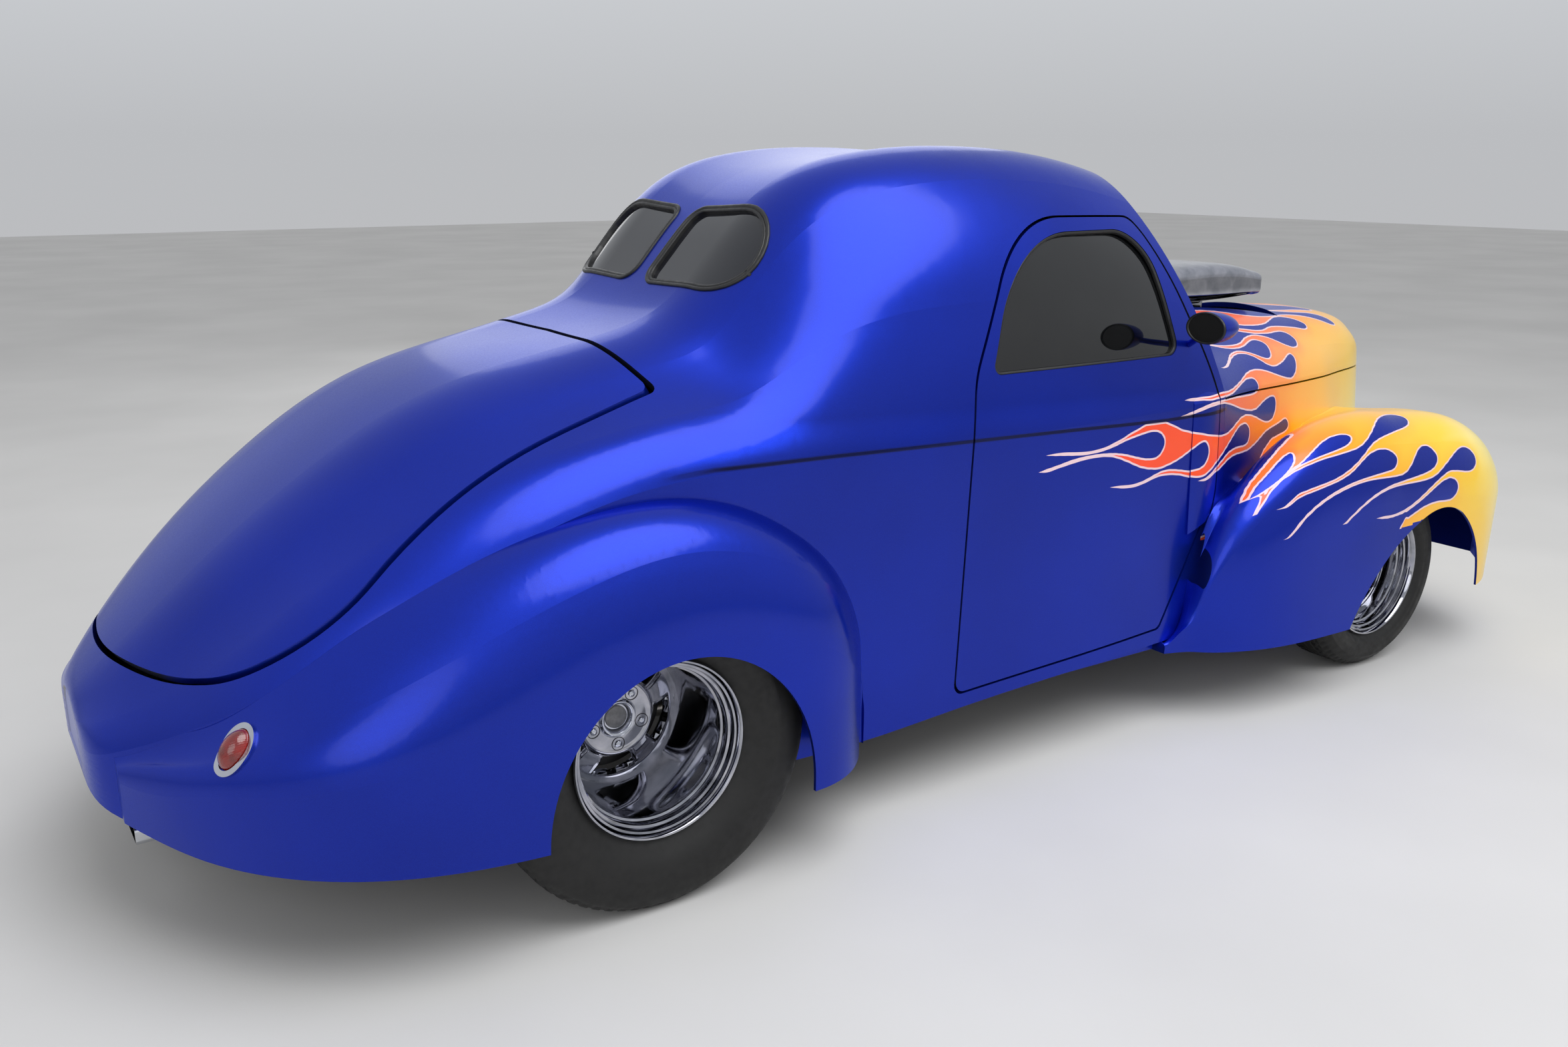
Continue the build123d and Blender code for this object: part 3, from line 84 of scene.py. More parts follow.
def piece(name, patches, key, body, replaces=(), angle=35.0, merge=1e-6, closed=False):
    """One mesh object with one finish, from patches of (points, wrap_rows, wrap_columns, flip).

    The points of all patches go in with foreach_set, doubles are merged so that seams and
    poles close, and edges sharper than the angle stay sharp. Closed shells are turned to
    face outward.
    """
    points, quads, start = [], [], 0
    for grid, wrap_rows, wrap_columns, flip in patches:
        faces = grid_faces(grid.shape[0], grid.shape[1], wrap_rows, wrap_columns) + start
        quads.append(faces[:, ::-1] if flip else faces)
        points.append(grid.reshape(-1, 3))
        start += grid.shape[0] * grid.shape[1]
    points = np.concatenate(points).astype(np.float32)
    quads = np.concatenate(quads).astype(np.int32)
    mesh = bpy.data.meshes.new(name)
    mesh.vertices.add(len(points))
    mesh.vertices.foreach_set("co", points.ravel())
    mesh.loops.add(quads.size)
    mesh.loops.foreach_set("vertex_index", quads.ravel())
    mesh.polygons.add(len(quads))
    mesh.polygons.foreach_set("loop_start", np.arange(0, quads.size, 4, dtype=np.int32))
    mesh.update(calc_edges=True)
    work = bmesh.new()
    work.from_mesh(mesh)
    bmesh.ops.remove_doubles(work, verts=work.verts, dist=merge)
    bmesh.ops.dissolve_degenerate(work, edges=work.edges, dist=merge / 2)
    if closed:
        bmesh.ops.recalc_face_normals(work, faces=work.faces)
    work.to_mesh(mesh)
    work.free()
    mesh.validate()
    mesh.polygons.foreach_set("use_smooth", np.ones(len(mesh.polygons), dtype=bool))
    mesh.set_sharp_from_angle(angle=radians(angle))
    mesh.materials.append(finish(key))
    thing = bpy.data.objects.new(name, mesh)
    bpy.context.scene.collection.objects.link(thing)
    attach(thing, body)
    if replaces:
        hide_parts(*replaces)
    return thing


def rings(name, grids, key, body, flip, replaces=(), angle=40.0):
    """A piece of surfaces that are turned about an axis, each from its own section."""
    return piece(name, [(grid, True, False, flip) for grid in grids], key, body, replaces, angle)


def pads(name, grids, key, replaces=(), angle=50.0):
    """A piece of closed pads on the chassis."""
    patches = [(grid, False, True, False) for grid in grids]
    return piece(name, patches, key, "chassis", replaces, angle, 1e-5, True)


def placed(centre, side, along, out, up):
    """Points from steps along X, out to the given side and up, seen from a centre."""
    along, out, up = np.broadcast_arrays(along, out, up)
    return np.stack([centre[0] + along, centre[1] + side * out, centre[2] + up], -1)


def turned(profile, centre, steps, side):
    """A profile of (radius, outward) turned about the wheel axle at the centre.

    x = cx + r sin(t), y = cy + side * outward, z = cz + r cos(t), with t once round.
    """
    profile = np.asarray(profile, float)
    t = np.linspace(0, 2 * pi, steps, endpoint=False)[:, None]
    r, out = profile[:, 0][None, :], profile[:, 1][None, :]
    return placed(centre, side, r * np.sin(t), out, r * np.cos(t))


def rounded(points, radii, steps=6):
    """A polyline with its corners rounded by quadratic arcs that start one radius away."""
    points = np.asarray(points, float)
    out = [points[0]]
    for k in range(1, len(points) - 1):
        here, r = points[k], radii[k - 1]
        back, ahead = points[k - 1] - here, points[k + 1] - here
        a = here + back / np.linalg.norm(back) * min(r, np.linalg.norm(back) * 0.45)
        b = here + ahead / np.linalg.norm(ahead) * min(r, np.linalg.norm(ahead) * 0.45)
        t = np.linspace(0, 1, steps)[:, None]
        out.extend((1 - t) ** 2 * a + 2 * t * (1 - t) * here + t * t * b)
    out.append(points[-1])
    return np.array(out)


def filleted(rows, steps=10):
    """A closed outline of (u, v, radius) corners in millimetres, each rounded by an arc.

    With h half the corner's angle, the arc starts r / tan(h) from the corner and its centre
    lies r / sin(h) from it along the bisector.
    """
    rows = np.asarray(rows, float)
    corner, radius = rows[:, :2], rows[:, 2:]
    back = np.roll(corner, 1, 0) - corner
    ahead = np.roll(corner, -1, 0) - corner
    back /= np.linalg.norm(back, axis=1, keepdims=True)
    ahead /= np.linalg.norm(ahead, axis=1, keepdims=True)
    half = np.arccos(np.clip((back * ahead).sum(1), -1, 1))[:, None] / 2
    middle = back + ahead
    middle /= np.linalg.norm(middle, axis=1, keepdims=True)
    centre = corner + middle * radius / np.sin(half)
    first = corner + back * radius / np.tan(half) - centre
    last = corner + ahead * radius / np.tan(half) - centre
    turn = (pi - 2 * half)[:, :, None]
    share = np.linspace(0, 1, steps)[None, :, None]
    arc = (np.sin((1 - share) * turn) * first[:, None] + np.sin(share * turn) * last[:, None]) / np.sin(turn)
    return (centre[:, None] + arc).reshape(-1, 2)


def evenly(loop, count):
    """A closed outline as points an equal way apart."""
    closed = np.vstack([loop, loop[:1]])
    run = np.concatenate([[0.0], np.cumsum(np.linalg.norm(np.diff(closed, axis=0), axis=1))])
    at = np.linspace(0, run[-1], count, endpoint=False)
    return np.stack([np.interp(at, run, closed[:, k]) for k in range(closed.shape[1])], -1)


def widened(loop, step):
    """A closed flat outline moved outward by a step, square to its run."""
    run = np.roll(loop, -1, 0) - np.roll(loop, 1, 0)
    run /= np.linalg.norm(run, axis=1, keepdims=True)
    x, y = loop.T
    turning = np.sign((x * np.roll(y, -1) - y * np.roll(x, -1)).sum())
    return loop + np.stack([run[:, 1], -run[:, 0]], -1) * step * turning


def soft_loop(values, width):
    """Values round a closed loop, each the Hann weighted mean of its neighbours."""
    window = np.hanning(width + 2)[1:-1]
    pad = width // 2
    ends = np.concatenate([values[-pad:], values, values[:pad]])
    return np.convolve(ends, window / window.sum(), "valid")


def first_hit(name, starts, way):
    """How far along one direction each start first meets a CAD node.

    Every start is set against every triangle near it: with edges e1 and e2, s = start - a,
    p = way x e2 and q = s x e1, the distance is q.e2 / e1.p where the barycentric
    coordinates s.p / e1.p and way.q / e1.p lie inside the triangle.
    """
    mesh = frame["nodes"][name].data
    mesh.calc_loop_triangles()
    corners = np.empty(len(mesh.loop_triangles) * 3, np.int32)
    mesh.loop_triangles.foreach_get("vertices", corners)
    points = np.empty(len(mesh.vertices) * 3, np.float32)
    mesh.vertices.foreach_get("co", points)
    sides = points.reshape(-1, 3)[corners].reshape(-1, 3, 3).astype(float)
    ends = np.vstack([starts, starts + np.asarray(way)])
    near = ((sides.max(1) > ends.min(0)) & (sides.min(1) < ends.max(0))).all(1)
    sides = sides[near]
    a, e1, e2 = sides[:, 0], sides[:, 1] - sides[:, 0], sides[:, 2] - sides[:, 0]
    p = np.cross(way, e2)
    scale = (e1 * p).sum(-1)
    scale = np.where(np.abs(scale) < 1e-12, np.nan, scale)
    s = starts[:, None] - a[None]
    q = np.cross(s, e1[None])
    u, v, t = (s * p).sum(-1) / scale, (q * way).sum(-1) / scale, (q * e2).sum(-1) / scale
    found = (u >= -1e-6) & (v >= -1e-6) & (u + v <= 1 + 1e-6) & (t > 0)
    nearest = np.where(found, t, np.inf).min(1)
    good = np.isfinite(nearest)
    index = np.arange(len(starts))
    return np.interp(index, index[good], nearest[good], period=len(starts))


def bead(path, across, outward, section):
    """A closed strip along a loop: its section of (a, b) steps stands on each point C.

    P(i, k) = C_i + a_k A_i + b_k N_i, with A_i the way across and N_i the way out.
    """
    section = np.asarray(section, float)
    a, b = section[None, :, 0, None], section[None, :, 1, None]
    return path[:, None] + a * across[:, None] + b * outward[:, None]


def bent(value, power):
    """A cosine or sine to a power, with its sign kept."""
    return np.sign(value) * np.abs(value) ** power


def pad_grid(centre, half, power, rows=49, columns=97):
    """A rounded box as a superellipsoid: x = X C(a) C(b), y = Y C(a) S(b), z = Z S(a).

    C and S are the cosine and sine to the given power with their sign kept.
    """
    a = np.linspace(-pi / 2, pi / 2, rows)[:, None]
    b = np.linspace(0, 2 * pi, columns, endpoint=False)[None, :]
    level, rise = bent(np.cos(a), power), bent(np.sin(a), power)
    level[0] = level[-1] = 0.0
    along, across = half[0] * level * bent(np.cos(b), power), half[1] * level * bent(np.sin(b), power)
    return np.stack([along, across, half[2] * rise + 0 * b], -1) + np.asarray(centre)


def facing_x(grid, centre):
    """Turns a grid that faces +Y about a centre so that it faces +X."""
    away = grid - np.asarray(centre)
    return np.stack([away[..., 1], -away[..., 0], away[..., 2]], -1) + np.asarray(centre)


def smoothstep(low, high, value):
    """0 below low, 1 above high, and 3t^2 - 2t^3 between."""
    t = np.clip((value - low) / (high - low), 0, 1)
    return t * t * (3 - 2 * t)


# Material helpers

def linear(red, green, blue):
    """A screen colour as the linear values that a shader takes."""
    screen = (red, green, blue)
    return tuple(((c + 0.055) / 1.055) ** 2.4 if c > 0.04045 else c / 12.92 for c in screen) + (1.0,)


class Nodes:
    """Short names for adding nodes to one material."""

    def __init__(self, name):
        self.material = bpy.data.materials.new(name)
        self.material.use_nodes = True
        self.tree = self.material.node_tree
        self.shader = self.tree.nodes["Principled BSDF"]
        self.made = {}

    def add(self, kind, **settings):
        node = self.tree.nodes.new(kind)
        for key, value in settings.items():
            setattr(node, key, value)
        return node

    def put(self, socket, value):
        if isinstance(value, bpy.types.NodeSocket):
            self.tree.links.new(value, socket)
        else:
            socket.default_value = value

    def set(self, **values):
        for key, value in values.items():
            self.put(self.shader.inputs[key.replace("_", " ")], value)
        return self

    def math(self, operation, a, b=0.0, c=0.0):
        node = self.add("ShaderNodeMath", operation=operation)
        for socket, value in zip(node.inputs, (a, b, c)):
            self.put(socket, value)
        return node.outputs[0]

    def place(self):
        """Object coordinates and their three parts."""
        if "place" not in self.made:
            coordinates = self.add("ShaderNodeTexCoord")
            parts = self.add("ShaderNodeSeparateXYZ")
            self.put(parts.inputs[0], coordinates.outputs["Object"])
            self.made["place"] = (coordinates.outputs["Object"], *parts.outputs)
            self.made["normal"] = coordinates.outputs["Normal"]
        return self.made["place"]

    def scaled(self, sizes):
        """Object coordinates scaled on each axis."""
        node = self.add("ShaderNodeMapping")
        self.put(node.inputs["Vector"], self.place()[0])
        node.inputs["Scale"].default_value = sizes
        return node.outputs[0]

    def noise(self, scale, detail=2.0, vector=None, distortion=0.0):
        node = self.add("ShaderNodeTexNoise")
        self.put(node.inputs["Vector"], self.place()[0] if vector is None else vector)
        node.inputs["Scale"].default_value = scale
        node.inputs["Detail"].default_value = detail
        node.inputs["Distortion"].default_value = distortion
        return node.outputs["Fac"]

    def cells(self, scale, feature="F1", output="Distance"):
        node = self.add("ShaderNodeTexVoronoi", feature=feature)
        self.put(node.inputs["Vector"], self.place()[0])
        node.inputs["Scale"].default_value = scale
        return node.outputs[output]

    def ranged(self, value, low, high, to_low, to_high, smooth=False):
        node = self.add("ShaderNodeMapRange", interpolation_type="SMOOTHSTEP" if smooth else "LINEAR")
        for key, number in zip(("From Min", "From Max", "To Min", "To Max"), (low, high, to_low, to_high)):
            node.inputs[key].default_value = number
        self.put(node.inputs["Value"], value)
        return node.outputs["Result"]

    def ramp(self, value, stops, interpolation="LINEAR"):
        node = self.add("ShaderNodeValToRGB")
        node.color_ramp.interpolation = interpolation
        elements = node.color_ramp.elements
        elements[0].position, elements[0].color = stops[0]
        elements[1].position, elements[1].color = stops[-1]
        for position, colour in stops[1:-1]:
            elements.new(position).color = colour
        self.put(node.inputs[0], value)
        return node

    def shaded(self, value, low, high, start=0.3, end=0.7):
        """A colour that runs from low to high as the value runs from start to end."""
        return self.ramp(value, [(start, linear(*low)), (end, linear(*high))]).outputs["Color"]

    def varied(self, scale, detail, to_low, to_high, start=0.3, end=0.7):
        """A number that a noise moves between two values."""
        return self.ranged(self.noise(scale, detail), start, end, to_low, to_high)

    def wave(self, value, length):
        """A sine along one coordinate with the given length in metres."""
        return self.math("SINE", self.math("MULTIPLY", value, 2 * pi / length))

    def mix(self, factor, a, b):
        node = self.add("ShaderNodeMix", data_type="RGBA")
        self.put(node.inputs["Factor"], factor)
        self.put(node.inputs[6], a)
        self.put(node.inputs[7], b)
        return node.outputs[2]

    def bump(self, height, strength=0.2, distance=0.001, normal=None):
        node = self.add("ShaderNodeBump")
        node.inputs["Strength"].default_value = strength
        node.inputs["Distance"].default_value = distance
        self.put(node.inputs["Height"], height)
        if normal is not None:
            self.put(node.inputs["Normal"], normal)
        return node.outputs[0]


# The painted flames. Each blue drop lies between two licks: its upper and lower edges run
# forward to a round nose. Points are (station, height) in millimetres, station zero at the
# rear axle, and the height is measured on a slant, z less a share of the distance from the middle.
SIDE_SLANT = 0.6
SIDE_DROPS = [
    ((3165, 1040), [(2790, 1106), (2850, 1085), (2950, 1068), (3050, 1058), (3110, 1053)],
     [(2750, 1005), (2850, 1014), (2950, 1020), (3050, 1024), (3120, 1027)], 100, 14),
    ((3216, 949), [(2750, 1003), (2850, 1004), (2950, 1002), (3050, 1003), (3120, 998), (3180, 982)],
     [(2150, 985), (2230, 992), (2309, 993), (2403, 981), (2498, 961), (2584, 953), (2671, 955), (2750, 965),
      (2821, 977), (2899, 981), (2980, 976), (3060, 963), (3130, 948), (3180, 938)], 14, 14),
    ((2931, 922), [(2150, 983), (2230, 948), (2300, 920), (2356, 905), (2435, 896), (2498, 897), (2569, 904),
                   (2624, 918), (2671, 937), (2726, 956), (2781, 963), (2844, 961), (2891, 950), (2918, 937)],
     [(2300, 873), (2356, 877), (2419, 874), (2466, 870), (2529, 870), (2561, 878), (2608, 893), (2671, 900),
      (2742, 902), (2821, 902), (2891, 898), (2918, 904)], 14, 14),
    ((2737, 834), [(2300, 871), (2356, 865), (2403, 858), (2466, 852), (2529, 855), (2577, 860), (2624, 869),
                   (2671, 874), (2710, 866), (2729, 852)],
     [(2100, 789), (2159, 782), (2230, 784), (2277, 791), (2317, 803), (2356, 822), (2403, 838), (2451, 845),
      (2498, 841), (2545, 829), (2584, 812), (2624, 797), (2663, 790), (2702, 796), (2726, 812)], 14, 14),
    ((2471, 792), [(2100, 787), (2159, 773), (2214, 768), (2261, 772), (2309, 784), (2356, 803), (2388, 815),
                   (2419, 820), (2447, 815), (2464, 804)],
     [(2042, 668), (2072, 682), (2104, 701), (2143, 725), (2175, 740), (2214, 752), (2254, 756), (2293, 750),
      (2324, 741), (2356, 729), (2388, 722), (2419, 727), (2443, 744), (2462, 770)], 14, 14),
    ((2619, 740), [(2042, 666), (2072, 677), (2104, 697), (2151, 721), (2199, 738), (2246, 744), (2285, 739),
                   (2324, 721), (2356, 703), (2388, 693), (2427, 693), (2466, 704), (2513, 721), (2553, 741),
                   (2584, 754), (2608, 755)],
     [(1762, 548), (1850, 547), (1915, 559), (1962, 566), (2009, 577), (2057, 595), (2112, 618), (2167, 646),
      (2214, 663), (2261, 671), (2309, 671), (2356, 666), (2403, 658), (2451, 652), (2498, 648), (2537, 651),
      (2569, 667), (2596, 690), (2613, 718)], 14, 14),
    ((2247, 606), [(1762, 545), (1850, 536), (1915, 545), (1962, 553), (2009, 565), (2057, 585), (2112, 610),
                   (2159, 629), (2206, 636), (2236, 628)],
     [(1749, 503), (1850, 524), (1915, 534), (1994, 548), (2057, 558), (2128, 568), (2190, 577),
      (2230, 588)], 14, 14),
    ((2385, 560), [(1749, 500), (1850, 517), (1915, 528), (1994, 530), (2072, 524), (2128, 522), (2175, 522),
                   (2222, 532), (2261, 550), (2301, 567), (2340, 579), (2372, 580)],
     [(1215, 447), (1295, 440), (1340, 436), (1400, 437), (1445, 447), (1490, 461), (1535, 476), (1573, 488),
      (1610, 494), (1640, 494), (1670, 486), (1708, 469), (1760, 455), (1805, 441), (1850, 430), (1915, 428),
      (1954, 434), (1994, 449), (2025, 465), (2065, 485), (2104, 500), (2151, 506), (2206, 503), (2254, 492),
      (2301, 488), (2340, 496), (2364, 512), (2380, 535)], 60, 14),
    ((1662, 432), [(1215, 445), (1295, 436), (1340, 432), (1400, 434), (1453, 443), (1498, 455), (1550, 464),
                   (1595, 470), (1625, 469), (1651, 456)],
     [(1195, 405), (1250, 413), (1295, 421), (1348, 425), (1400, 425), (1453, 421), (1498, 413), (1542, 401),
      (1580, 392), (1610, 389), (1636, 393), (1654, 408)], 14, 14),
    ((1849, 383), [(1195, 402), (1250, 409), (1302, 416), (1362, 421), (1415, 420), (1460, 412), (1505, 396),
                   (1550, 377), (1595, 364), (1640, 359), (1685, 366), (1730, 379), (1775, 398), (1805, 413),
                   (1826, 418), (1842, 408)],
     [(1475, 327), (1512, 323), (1558, 325), (1595, 332), (1633, 344), (1663, 350), (1700, 349), (1738, 343),
      (1775, 336), (1805, 335), (1827, 341), (1843, 358)], 14, 14),
    ((2150, 453), [(1475, 325), (1512, 320), (1550, 320), (1588, 326), (1625, 336), (1662, 339), (1700, 337),
                   (1738, 331), (1775, 321), (1805, 312), (1828, 312), (1850, 321), (1873, 336), (1895, 351),
                   (1916, 366), (1954, 394), (1994, 422), (2033, 449), (2072, 469), (2112, 478), (2139, 472)],
     [(1835, 300), (1875, 322), (1915, 347), (1962, 374), (2009, 390), (2057, 398), (2096, 402), (2128, 412),
      (2144, 430)], 14, 14),
    ((2489, 485), [(1835, 298), (1875, 315), (1915, 331), (1962, 355), (2009, 371), (2072, 380), (2128, 390),
                   (2183, 409), (2230, 430), (2277, 453), (2325, 469), (2372, 481), (2411, 492), (2451, 506),
                   (2478, 504)],
     [(1835, 120), (2000, 180), (2150, 300), (2260, 390), (2330, 430), (2400, 447), (2450, 458),
      (2479, 470)], 14, 80),
]
FENDER_SLANT = 0.8
FENDER_DROPS = [
    ((2205, 262), [(1865, 400), (2000, 400), (2080, 370), (2140, 330), (2185, 292)],
     [(1865, -62), (1890, -10), (1925, 45), (1965, 95), (2010, 130), (2060, 165), (2110, 198), (2160, 226),
      (2190, 240)], 60, 14),
    ((2117, 162), [(1865, -66), (1895, -17), (1932, 35), (1975, 82), (2020, 112), (2060, 140), (2095, 160)],
     [(1966, 45), (2004, 58), (2040, 74), (2070, 93), (2098, 118), (2112, 138)], 14, 14),
    ((2331, 156), [(1966, 42), (2004, 54), (2063, 84), (2113, 105), (2147, 125), (2180, 144), (2214, 163),
                   (2256, 177), (2298, 178), (2321, 170)],
     [(1920, -38), (1962, 25), (1996, 58), (2029, 79), (2071, 92), (2113, 100), (2180, 109), (2248, 116),
      (2290, 123), (2319, 136)], 14, 14),
    ((2673, 205), [(1920, -41), (1962, 8), (2000, 46), (2046, 74), (2105, 88), (2180, 98), (2248, 100),
                   (2298, 103), (2348, 110), (2382, 127), (2416, 151), (2449, 176), (2483, 201), (2516, 218),
                   (2567, 232), (2617, 236), (2652, 228)],
     [(2027, -28), (2046, -14), (2071, -2), (2113, 4), (2164, 9), (2214, 14), (2256, 25), (2290, 37),
      (2323, 54), (2357, 75), (2382, 94), (2407, 110), (2449, 126), (2500, 136), (2550, 146), (2600, 155),
      (2642, 167), (2665, 184)], 14, 14),
    ((2518, 40), [(2027, -31), (2054, -18), (2088, -8), (2164, 0), (2231, 9), (2281, 22), (2315, 39),
                  (2348, 60), (2382, 78), (2424, 88), (2466, 84), (2500, 67)],
     [(2032, -131), (2071, -97), (2105, -72), (2147, -51), (2197, -32), (2248, -19), (2298, -10), (2348, -5),
      (2399, -2), (2449, 1), (2491, 5), (2512, 18)], 14, 14),
    ((2740, 21), [(2032, -134), (2071, -102), (2105, -77), (2147, -56), (2197, -38), (2248, -26), (2298, -17),
                  (2348, -13), (2399, -13), (2449, -16), (2500, -18), (2542, -16), (2567, -7), (2592, 12),
                  (2617, 42), (2642, 66), (2668, 76), (2701, 71), (2726, 50)],
     [(2227, -156), (2256, -139), (2290, -122), (2332, -97), (2382, -74), (2432, -58), (2483, -47),
      (2542, -41), (2600, -36), (2659, -30), (2701, -21), (2731, -4)], 14, 14),
    ((2977, -8), [(2227, -159), (2264, -140), (2306, -115), (2348, -93), (2390, -75), (2441, -60),
                  (2491, -53), (2550, -50), (2609, -51), (2659, -51), (2701, -47), (2735, -36), (2768, -17),
                  (2810, 8),
                  (2844, 29), (2878, 44), (2911, 47), (2945, 37), (2968, 15)],
     [(2453, -144), (2500, -146), (2550, -141), (2592, -130), (2634, -113), (2676, -92), (2718, -71),
      (2760, -51), (2802, -38), (2844, -41), (2886, -48), (2920, -52), (2945, -48), (2966, -34)], 14, 14),
    ((2855, -100), [(2453, -147), (2500, -149), (2550, -145), (2592, -136), (2634, -121), (2676, -103),
                    (2718, -83), (2760, -66), (2802, -59), (2836, -70)],
     [(2560, -175), (2617, -156), (2659, -143), (2701, -136), (2743, -134), (2785, -137), (2819, -137),
      (2845, -124)], 14, 400),
]
# Each drop is charted from behind its tail to ahead of its nose, in millimetres. Behind the
# first point its edges stay open for a while, and near the nose the width runs straight out.
CHART_BEHIND, CHART_AHEAD = 160.0, 60.0
OPEN_BEFORE_POINT, OPEN_FROM_START = 60, 90
NOSE_RUN = 14
SOFTENED_OVER = 26
CHART_SAMPLES = 1600
DROP_STOPS = 32
DROP_POWER = 1.5

# Flame colours from the tips forward, the station of each on the side and on the fender, and
# the stations between which they run
FLAME_SHADES = [
    (1.0, 0.27, 0.0), (1.0, 0.32, 0.0), (1.0, 0.45, 0.0), (1.0, 0.58, 0.0), (1.0, 0.71, 0.0),
    (1.0, 0.82, 0.12), (1.0, 0.92, 0.50),
]
SIDE_PLACES = (1250, 1780, 2080, 2320, 2560, 3000, 3400)
FENDER_PLACES = (1500, 1700, 1900, 2060, 2300, 2780, 3060)
FADE_START, FADE_END = 1200.0, 3400.0
# The fade lags above this height on the side, and away from this height on the fender
SIDE_LEVEL, SIDE_LEAN = 600.0, -1.3
FENDER_LEVEL, FENDER_LEAN = 90.0, -0.8
# It lags along the flame's edge too, and drifts with a slow noise
EDGE_WIDTH, EDGE_LAG = 45.0, -130.0
FADE_DRIFT = 160.0

# Where flames may lie on the side: from each station on, above the first heights and below the second
SIDE_FLOOR = [(0, 330), (1400, 295), (1835, 120)]
SIDE_CEILING = [(0, 505), (1640, 600), (1906, 780), (1995, 1012), (2720, 3000)]
FENDER_FLOOR = [(0, -152), (2300, -195), (2560, -192), (2617, -185), (2660, -182), (2760, -900)]
FENDER_CEILING = [(0, 3000)]
# The crease along the side, as (station, height)
CREASE = [(20, 946), (110, 953), (200, 957), (530, 950), (945, 937), (1300, 926), (1665, 912), (1860, 911)]


def stepped(nodes, x, rows):
    """A value that jumps to the next row's where x passes that row's station."""
    total = rows[0][1]
    for (_, here), (station, ahead) in zip(rows, rows[1:]):
        passed = nodes.math("GREATER_THAN", x, station)
        total = nodes.math("MULTIPLY_ADD", passed, ahead - here, total)
    return total


def crease(nodes, station, z):
    """Height of the side's crease, and how deep a point lies in the band of painted shade at its foot.

    The height rises over the 12 mm below the crease's line and falls over 80 mm above it.
    """
    low, high = CREASE[0][0], CREASE[-1][0]
    stops = [((x - low) / (high - low), (h / 1000.0,) * 3 + (1.0,)) for x, h in CREASE]
    line = nodes.ramp(nodes.ranged(station, low, high, 0.0, 1.0), stops).outputs["Color"]
    above = nodes.math("SUBTRACT", z, line)
    rise = nodes.ranged(above, -0.012, 0.0, 0.0, 1.0, True)
    fall = nodes.ranged(above, 0.0, 0.080, 1.0, 0.0, True)
    # A band about 6 mm below the crease's line, where shade is painted into the colour
    painted_crease_shade = nodes.ranged(nodes.math("ABSOLUTE", nodes.math("ADD", above, 0.006)), 0.002, 0.008, 1.0, 0.0, True)
    faded = nodes.ranged(station, 60.0, 260.0, 0.0, 1.0, True)
    ends = nodes.math("MULTIPLY", faded, nodes.ranged(station, 1900.0, 1960.0, 1.0, 0.0))
    height = nodes.math("MULTIPLY", nodes.math("MULTIPLY", rise, fall), ends)
    return height, nodes.math("MULTIPLY", painted_crease_shade, ends)


def drop_table(nose, upper, lower, up, down):
    """Middle line and squared half width of one drop, with their slopes, from tail to nose.

    The edges are spaced by the square root of the distance to the nose, where both turn
    straight down, so the squared half width falls to zero there in a straight line. Behind
    a lick's tip each edge opens by a few millimetres, so that the two drops beside it merge.
    """
    tail = min(upper[0][0], lower[0][0]) - CHART_BEHIND
    edges = []
    for rows, opening in ((upper, up), (lower, -down)):
        x0, v0 = rows[0]
        open_end = min(x0 - OPEN_BEFORE_POINT, tail + OPEN_FROM_START)
        full = [(tail, v0 + opening), (open_end, v0 + opening), *rows, nose]
        station = np.array([p[0] for p in full], float)
        height = np.array([p[1] for p in full], float)
        edges.append((np.sqrt(np.clip(nose[0] - station, 0, None)), height))
    x = np.linspace(tail, nose[0] + CHART_AHEAD, CHART_SAMPLES)
    q = np.sqrt(np.clip(nose[0] - x, 0, None))
    top, bottom = (np.interp(-q, -root, height) for root, height in edges)
    width = np.clip((top - bottom) / 2, 0, None) ** 2
    middle = (top + bottom) / 2
    step = x[1] - x[0]
    window = np.hanning(int(SOFTENED_OVER / step) | 1)
    window /= window.sum()
    inside = x <= nose[0]
    last = np.argmax(x > nose[0] - NOSE_RUN)
    slope = width[last] / (nose[0] - x[last])
    width = np.where(x > x[last], (nose[0] - x) * slope, width)
    middle = np.where(inside, middle, nose[1])
    pad = len(window) // 2

    def soft(values):
        ahead_values = values[-1] + (values[-1] - values[-2]) * np.arange(1, pad + 1)
        return np.convolve(np.concatenate([np.full(pad, values[0]), values, ahead_values]), window, "valid")

    width, middle = soft(width), soft(middle)
    return x, middle, width, np.gradient(middle, x), np.gradient(width, x)


